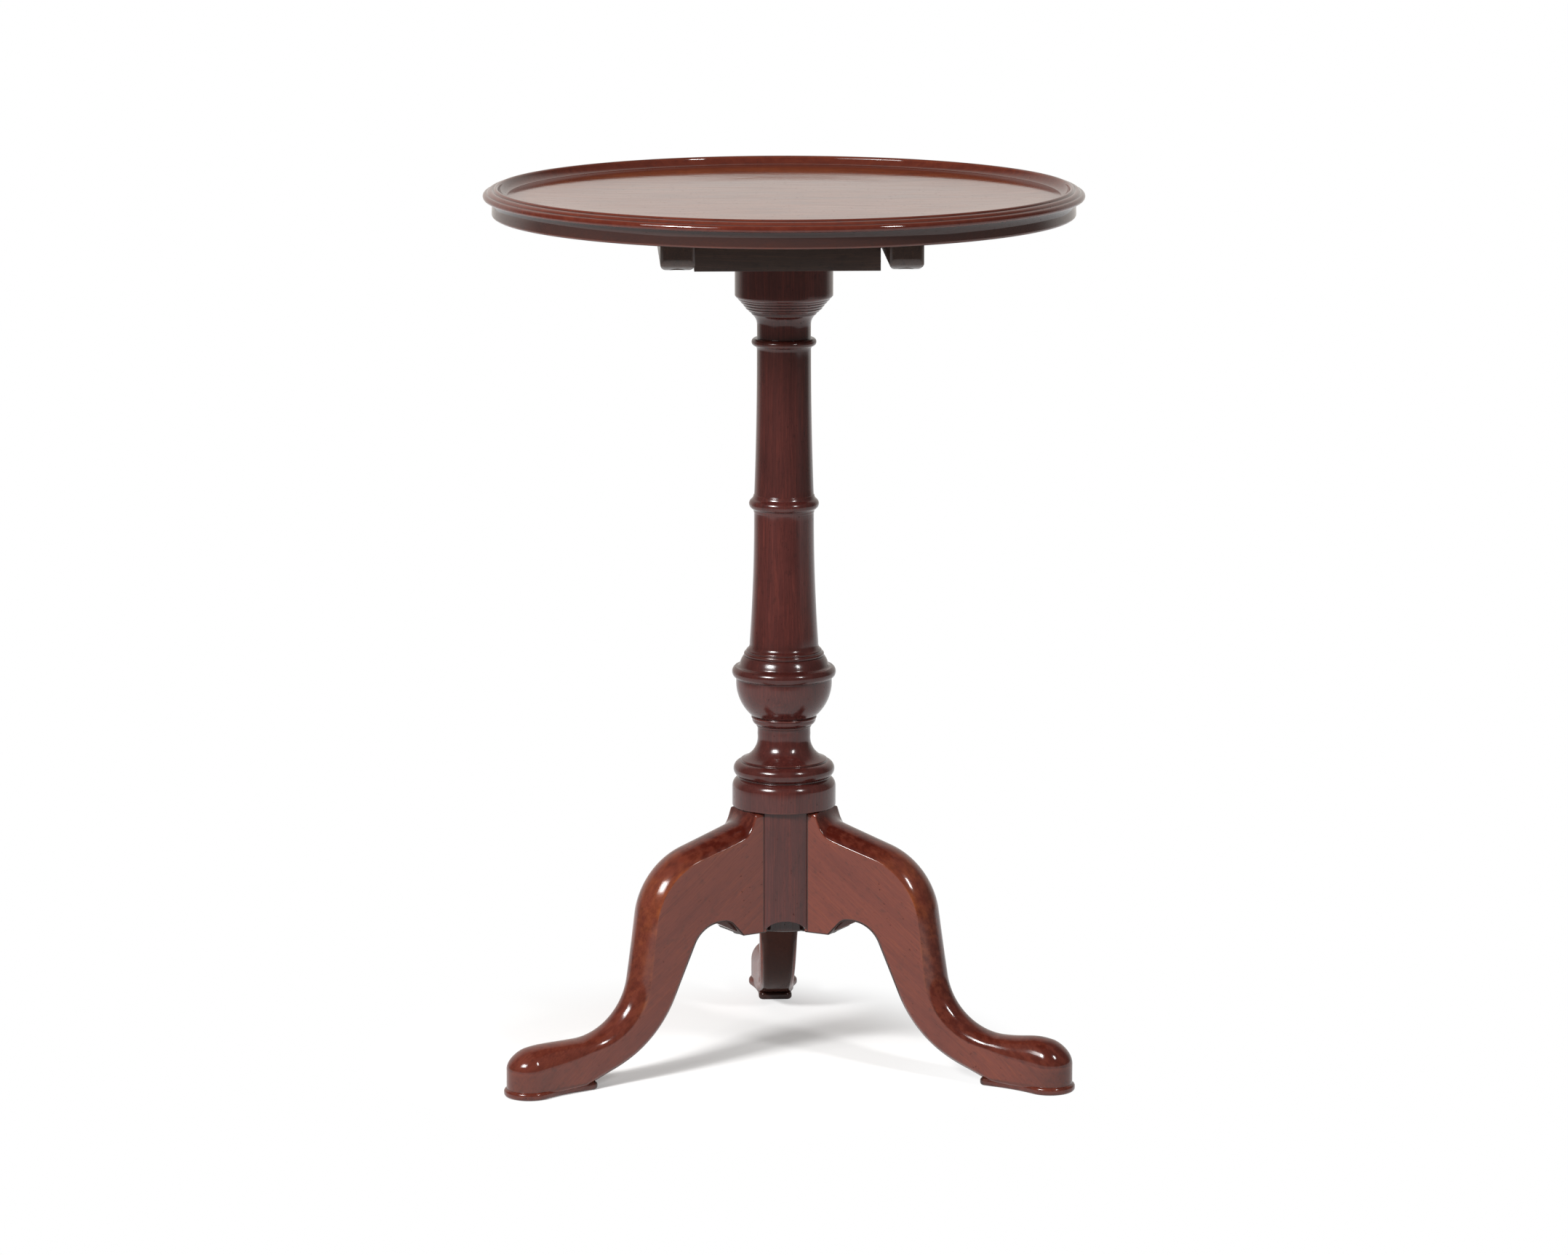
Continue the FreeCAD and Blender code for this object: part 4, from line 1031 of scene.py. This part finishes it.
        # Runs of the crest, runs of the underside, first and last section, and rows of each span
        spans = [
            ([root], [root_under], self.throat, self.throat, 24),
            (crest[0:2], [neck], self.throat, self.shoulder, 20),
            (crest[2:4], under[0:4], self.shoulder, self.knee, 76),
            (crest[4:5], under[4:5], self.knee, self.ankle, 34),
            (crest[5:6], under[5:6], self.ankle, self.instep, 40),
            (crest[6:7], under[6:7] + [tread], self.instep, self.toe, 28),
        ]
        tops, lows, sizes = [], [], []
        for top_runs, low_runs, start, end, count in spans:
            tops.append(respaced(np.vstack(top_runs), count + 1)[1:])
            lows.append(respaced(np.vstack(low_runs), count + 1)[1:])
            sizes.append(np.linspace(start, end, count + 1)[1:])
        return np.vstack(tops), np.vstack(lows), softened(np.vstack(sizes), spread=4.0)

    def section(self, height: np.ndarray, sizes: np.ndarray) -> tuple[np.ndarray, ...]:
        """Right half of every cross-section, from the middle of the underside to the crest.

        It runs along the flat underside, up a chamfer and a flat side, and over an arc of the crown's
        height, whose radius is (half^2 + crown^2) / (2 crown). Its corners are eased.

        Args:
            height: distance from underside to crest, a row each.
            sizes: half width, crown, chamfer and ease of the arris, a row each.

        Returns:
            Sideways place, height, closeness to the arris, depth below the top of the chamfer and share of
            the crown, rows by points.
        """
        half, crown, chamfer, arris = (sizes[:, column, None] for column in range(4))
        tall = height[:, None]
        radius = (half ** 2 + crown ** 2) / (2 * crown)
        spread = np.arcsin(np.clip(half / radius, -1, 1))
        lean = math.sqrt(0.5)
        cut = self.corner_cut * chamfer
        zero = 0 * half
        first = (half - chamfer, zero)
        second = (half, chamfer)
        third = (half, tall - crown)
        past = spread - arris / radius
        over = (radius * np.sin(past), tall - radius + radius * np.cos(past))
        low = eased_corner((first[0] - cut, zero), first, (first[0] + cut * lean, cut * lean))
        high = eased_corner((half - cut * lean, chamfer - cut * lean), second, (half, chamfer + cut))
        top = eased_corner((half, third[1] - arris), third, over)
        base = np.linspace(0, 1, self.base_points)[:-1]
        flank = np.linspace(0, 1, self.flank_points)[1:-1]
        roof = past * np.linspace(1, 0, self.roof_points)[1:]
        side_low, side_high = high[1][:, -1:], top[1][:, :1]
        xs = [base * (first[0] - cut), low[0], high[0], half + 0 * flank, top[0], radius * np.sin(roof)]
        rising = side_low + (side_high - side_low) * flank
        ys = [zero + 0 * base, low[1], high[1], rising, top[1], tall - radius + radius * np.cos(roof)]
        x, y = np.hstack(xs), np.hstack(ys)
        near = bell(np.hypot(x - third[0], y - third[1]), self.arris_width)
        sides = np.zeros(x.shape[1] - CORNER_POINTS - roof.shape[1])
        crowned = np.concatenate([sides, np.linspace(0, 1, CORNER_POINTS), np.ones(roof.shape[1])])
        return x, y, near, chamfer - y, crowned + 0 * x

    def shank(self) -> Surface:
        """Carry the section from the hub to the toe, then turn its halves about the toe's upright axis.

        On the last rows, at angle a, a point at sideways place x goes to x cos a and its reach grows by
        |x| sin a, so that the two halves meet at the tip. The top of the toe's dome is then raised by
        the lift times a bell about its hump, and lowered by the drop times a bell about its tip.

        Returns:
            The grid with its wear, grime and stain.
        """
        tops, lows, sizes = self.stations()
        rise = tops - lows
        height = np.linalg.norm(rise, axis=1)
        up = rise / height[:, None]
        x, y, *marks = self.section(height, sizes)
        x = np.hstack([x, -x[:, -2:0:-1]])
        y, *marks = (np.hstack([part, part[:, -2:0:-1]]) for part in (y, *marks))
        reach = lows[:, 0, None] + up[:, 0, None] * y
        level = lows[:, 1, None] + up[:, 1, None] * y
        body = np.stack([x, reach, level], axis=-1)
        angle = np.linspace(0, math.pi / 2, self.tip_rows + 1)[1:, None]
        aside, ahead, above = body[-1].T
        turned = (aside * np.cos(angle), ahead + np.abs(aside) * np.sin(angle), above + 0 * angle)
        root = 0 * body[:1] + body[:1].mean(axis=1, keepdims=True)
        points = np.concatenate([root, body, np.stack(turned, axis=-1)])
        dome = self.toe[1]
        share = np.clip((points[..., 2] - self.crest[-1][1] + dome) / dome, 0, 1)
        lift = self.toe_lift * bell(points[..., 1] - self.hump, self.hump_spread)
        drop = self.toe_drop * bell(self.toe_reach + self.toe[0] - points[..., 1], self.tip_spread)
        points[..., 2] += share * (lift - drop)
        marks = [np.concatenate([mark[:1], mark, np.zeros(angle.shape) + mark[-1:]]) for mark in marks]
        return Surface(points, None, *self.wear(points, *marks))

    def wear(self, points: np.ndarray, arris: np.ndarray, below: np.ndarray, crown: np.ndarray) -> tuple:
        """Wear along the arris, dark joints, dirt and painted shade underneath, under the drum and above
        the shoe, a darker foot to the toe's tip, and thick old polish over the crown.

        Args:
            points: grid of the shank.
            arris: closeness to the arris.
            below: depth below the top of the chamfer.
            crown: share of the crown.

        Returns:
            Wear, grime and stain.
        """
        out, tall = points[..., 1], points[..., 2]
        worn = arris * ramp(out, self.arris_wear) + self.knee_rub * crown * ramp(out, self.knee_wear)
        stain = crown * ramp(out, self.old_polish) + crown * self.foot_stain * ramp(out, self.foot_onset)
        joint = self.joint_dirt * bell(out - self.hub_flat - self.joint_gap, self.joint_width)
        # A dark joint under the drum, with painted shade below it
        drum = self.drum_dirt_and_shade * np.exp(-np.clip(self.crest[0][1] - tall, 0, None) / self.drum_fade)
        # A dark joint above the shoe, with a painted shadow line
        seam = self.seam_dirt_and_shade * bell(tall - self.shoe_height, self.seam_width) * (out > self.shoe_heel)
        # The toe's tip is darker towards its foot
        toe = self.toe_darkening * ramp(out, self.toe_onset) * ramp(tall, self.toe_fade)
        # The underside darkens below the chamfer: dirt on unpolished wood and painted shade
        depth = below / self.under_fade + self.under_start - ramp(out, self.under_lag)
        under = np.clip(depth, 0, self.under_dirt_and_shade)
        return np.clip(worn, 0, 1), np.maximum.reduce([joint, drum, seam, toe, under]), stain

    def arch_web(self) -> Surface:
        """The web in the middle of the arch, behind the scallops of its faces: a slab with a straight foot.

        Returns:
            The grid.
        """
        outline = respaced(np.array(self.web + self.web[:1]), self.web_points)[:-1]
        slab = rounded_slab(outline, -self.web_half, self.web_half, self.web_edge)
        # The whole web is painted dark as shade in the recess of the arch
        return Surface(slab[..., [2, 0, 1]], grime=np.full(slab.shape[:2], self.web_shade))

    def shoe(self) -> Surface:
        """The moulded shoe: a plan outline with round edges.

        The plan is the round of the toe, on each side an arc that draws in to the heel's half width and
        touches the round from outside, a straight run and a round corner, and the straight heel.

        Returns:
            The grid.
        """
        half, hollow = self.shoe_heel_half, self.shoe_hollow
        drop = math.sqrt((self.shoe_radius + hollow) ** 2 - (half + hollow) ** 2)
        lean = math.degrees(math.atan2(drop, half + hollow))
        corner = (half - self.shoe_heel_round, self.shoe_heel + self.shoe_heel_round)
        line = np.vstack([
            arc((0.0, self.toe_reach), self.shoe_radius, 90.0, -lean, 40),
            arc((half + hollow, self.toe_reach - drop), hollow, 180.0 - lean, 180.0, 24)[1:],
            arc(corner, self.shoe_heel_round, 0.0, -90.0, 14),
            np.array([(0.5 * corner[0], self.shoe_heel), (0.0, self.shoe_heel)]),
        ])
        outline = np.vstack([line, line[-2:0:-1] * np.array([-1.0, 1.0])])
        points = rounded_slab(outline, 0.0, self.shoe_height, self.shoe_edge)
        reach, tall = points[..., 1], points[..., 2]
        worn = self.shoe_wear * bell(tall - self.shoe_height + self.shoe_wear_below, self.shoe_wear_width)
        # The heel end of the shoe is laid with dirt and painted shade
        heel = np.clip((self.shoe_heel + self.heel_depth - reach) / self.heel_fade, 0, 1)
        # Darker towards the bottom of the shoe
        grime = np.maximum(self.shoe_base_darkening * np.exp(-tall / self.shoe_base_fade), self.heel_dirt_and_shade * heel)
        return Surface(points, None, worn * (1 - heel), grime, np.full(grime.shape, self.shoe_polish))


LEGS = (
    Leg("leg_back", turn=0.0, toe_drop=2.0, toe_lift=0.0, foot_stain=0.1),
    Leg("leg_left", turn=120.0, toe_drop=5.0, toe_lift=0.0, foot_stain=0.15),
    Leg("leg_right", turn=-120.0, toe_drop=2.5, toe_lift=2.6, foot_stain=0.4),
)


@dataclass
class Joinery:
    """The block, the bearers and the wedge: copies of their CAD nodes with eased arrises.

    An edge longer than long_edge that turns by more than turn, in degrees, is eased. Faces within flat
    degrees of each other are first joined into one.
    """

    ease: float = 0.9
    ease_rows: int = 3
    ease_wear: float = 0.6
    long_edge: float = 20.0
    turn: float = 34.4
    flat: float = 0.5
    weld: float = 0.00001
    sharp: float = 30.0
    parts: tuple = (
        ("pivot_block", Grain.ACROSS, "stand", "dark_mahogany"),
        ("bearer_left", Grain.DEEP, "top", "dark_mahogany"),
        ("bearer_right", Grain.DEEP, "top", "dark_mahogany"),
        ("pillar_wedge", Grain.UPRIGHT, "stand", "mahogany"),
    )

    def build(self, finish: PolishedTimber) -> None:
        """Make and dress every part.

        Args:
            finish: finish of all the parts.
        """
        material = finish.make()
        for node, grain, body, slot in self.parts:
            dress(self.eased_copy(node, grain), material, body, node)

    def eased_copy(self, node: str, grain: Grain) -> bpy.types.Object:
        """Copy a node's mesh, merge it, round its long arrises and mark them as worn.

        Args:
            node: the CAD node.
            grain: direction of its grain.

        Returns:
            The copy.
        """
        shell = bmesh.new()
        shell.from_mesh(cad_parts[node].data)
        bmesh.ops.remove_doubles(shell, verts=shell.verts, dist=self.weld)
        flat, turn, least = math.radians(self.flat), math.radians(self.turn), self.long_edge * MM
        bmesh.ops.dissolve_limit(shell, angle_limit=flat, verts=shell.verts, edges=shell.edges)
        worn = shell.faces.layers.float.new("worn")
        arrises = [
            edge for edge in shell.edges
            if edge.is_manifold and edge.calc_length() > least and edge.calc_face_angle() > turn
        ]
        if arrises:
            made = bmesh.ops.bevel(
                shell, geom=arrises, offset=self.ease * MM, offset_type="OFFSET", segments=self.ease_rows,
                profile=0.5, affect="EDGES", clamp_overlap=True
            )
            for face in made["faces"]:
                face[worn] = self.ease_wear
        mesh = bpy.data.meshes.new(node + "_eased")
        shell.to_mesh(mesh)
        shell.free()
        places = np.empty(3 * len(mesh.vertices), dtype=np.float32)
        mesh.vertices.foreach_get("co", places)
        plank = places.reshape(-1, 3)[:, grain.value] / MM
        mesh.attributes.new("plank", "FLOAT_VECTOR", "POINT").data.foreach_set("vector", plank.ravel())
        return shown(node + "_eased", mesh, self.sharp)


@dataclass
class Studio:
    """White paper sheet, white surroundings behind it, soft lamps and the camera of the photograph.

    Its places and sizes are in metres, but for the camera's lens and the sheet's extent across and deep,
    which are in millimetres. Each lamp has a name, a place, a width and height, and a power in watts.
    """

    lens: float = 137.53
    sensor: float = 36.0
    place: tuple = (-0.1888, -4.7641, 1.242)
    tilt: float = 79.4456
    swing: float = -2.2745
    aim: tuple = (0.0, 0.0, 0.35)
    sheet: tuple = ((-1600.0, 2800.0), (-1450.0, 3200.0))
    sheet_points: int = 20
    surround: str = "#fff9f3"
    white: str = "#ffffff"
    paper_white: str = "#efefef"
    paper_lift: float = 0.16
    shadow_middle: tuple = (0.07, 0.0, 0.0)
    lamps: tuple = (
        ("key_core", (-1.24, -1.34, 1.60), (0.36, 0.36), 36.0),
        ("key_softbox", (-1.25, -1.35, 1.61), (0.95, 0.6), 24.0),
        ("fill_softbox", (1.15, -1.41, 1.62), (0.2, 0.5), 14.0),
    )

    def build(self) -> None:
        """Make the whole studio and keep colours as they are written."""
        bpy.context.scene.view_settings.view_transform = "Standard"
        self.camera()
        self.lights()
        self.world()
        self.paper()

    def camera(self) -> None:
        """Set the camera at the fitted place, without shift or depth of field."""
        data = bpy.data.cameras.new("camera")
        data.sensor_fit = "HORIZONTAL"
        data.sensor_width = self.sensor
        data.lens = self.lens
        data.clip_end = 100.0
        camera = bpy.data.objects.new("camera", data)
        camera.location = self.place
        camera.rotation_euler = Euler((math.radians(self.tilt), 0.0, math.radians(self.swing)))
        bpy.context.scene.collection.objects.link(camera)
        bpy.context.scene.camera = camera

    def lights(self) -> None:
        """Hang the softboxes, level and each facing the middle of the object."""
        for name, place, size, power in self.lamps:
            data = bpy.data.lights.new(name, "AREA")
            data.shape = "RECTANGLE"
            data.size, data.size_y = size
            data.energy = power
            lamp = bpy.data.objects.new(name, data)
            lamp.location = place
            east, north, up = np.array(self.aim) - np.array(place)
            tip = math.atan2(math.hypot(east, north), -up)
            lamp.rotation_euler = Euler((tip, 0.0, math.atan2(north, east) - math.pi / 2))
            bpy.context.scene.collection.objects.link(lamp)

    def world(self) -> None:
        """White behind the object, dark in front of it and beside it, and white to the camera."""
        world = bpy.data.worlds.new("studio")
        limits = {"Value": "axes.Y", "From Min": 0.35, "From Max": 0.75, "To Min": 0.18, "To Max": 0.8}
        grow(world, [
            ("way", "TexCoord", {}, {}),
            ("axes", "SeparateXYZ", {0: "way.Generated"}, {}),
            ("backdrop", "MapRange", limits, SMOOTH),
            ("path", "LightPath", {}, {}),
            ("seen", "Math", {0: "path.Is Camera Ray", 1: "path.Is Transmission Ray"}, GREATER),
            ("level", "Math", {0: "backdrop", 1: "seen"}, GREATER),
            ("tint", "Mix", {0: "seen", 6: linear(self.surround), 7: linear(self.white)}, COLOUR),
            ("light", "Background", {"Color": "tint.2", "Strength": "level"}, {}),
            ("output", "OutputWorld", {"Surface": "light"}, {}),
        ])
        bpy.context.scene.world = world

    def paper(self) -> None:
        """Lay a white paper sheet that shows the object's shadow near it and is plain white further off."""
        across, deep = np.meshgrid(*(np.linspace(*span, self.sheet_points) for span in self.sheet))
        floor = make_piece("floor", [Surface(np.stack([across, deep, 0 * deep], axis=-1), closed=False)])
        material = bpy.data.materials.new("white_paper_floor")
        limits = {"Value": "distance.Value", "From Min": 0.13, "From Max": 0.28}
        grow(material, [
            ("spot", "TexCoord", {}, {}),
            ("offset", "VectorMath", {0: "spot.Object", 1: self.shadow_middle}, {"operation": "ADD"}),
            ("distance", "VectorMath", {0: "offset"}, {"operation": "LENGTH"}),
            ("glow", "MapRange", limits, SMOOTH),
            ("path", "LightPath", {}, {}),
            ("seen", "Math", {0: "path.Is Camera Ray", 1: "path.Is Glossy Ray"}, GREATER),
            ("shown", "Math", {0: "seen", 1: "path.Is Transmission Ray"}, GREATER),
            ("share", "Math", {0: "shown", 1: "glow"}, TIMES),
            ("lift", "Math", {0: "shown", 1: self.paper_lift}, TIMES),
            ("sheet", "BsdfDiffuse", {"Color": linear(self.paper_white)}, {}),
            ("lifted", "Emission", {"Color": linear(self.white), "Strength": "lift"}, {}),
            ("white", "Emission", {"Color": linear(self.white), "Strength": 1.0}, {}),
            ("near", "AddShader", {0: "sheet", 1: "lifted"}, {}),
            ("surface", "MixShader", {0: "share", 1: "near", 2: "white"}, {}),
            ("output", "OutputMaterial", {"Surface": "surface"}, {}),
        ])
        floor.data.materials.append(material)


@dataclass
class Fittings:
    """Metal CAD nodes whose shape is right and that only get a finish."""

    finishes: dict = field(default_factory=lambda: {
        IRON: ("base_plate", "base_plate_nails"),
        BRASS: (
            "strike_plate", "strike_screws", "catch_plate", "catch_screws", "catch_spring", "catch_bolt",
            "catch_knob",
        ),
        STEEL: ("bearer_screws_left", "bearer_screws_right"),
    })

    def build(self) -> None:
        """Put each finish into the material slots of its nodes."""
        for finish, nodes in self.finishes.items():
            material = finish.make()
            for node in nodes:
                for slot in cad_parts[node].material_slots:
                    slot.material = material
                log.info("%s: finished as %s", node, finish.name)


def main() -> None:
    """Build the studio, the stand, the top and the fittings in order."""
    logging.basicConfig(level=logging.INFO)
    Studio().build()
    dress(Pillar().build(), PILLAR_MAHOGANY.make(), "stand", "pillar")
    leg_polish, dull_polish = LEG_MAHOGANY.make(), DULL_MAHOGANY.make()
    for leg in LEGS:
        dress(leg.build(), leg_polish if leg.turn else dull_polish, "stand", leg.name)
    dress(TrayTop().build(), TRAY_MAHOGANY.make(), "top", "tray_top")
    Joinery().build(BLOCK_TIMBER)
    Fittings().build()


if __name__ == "__main__":
    main()
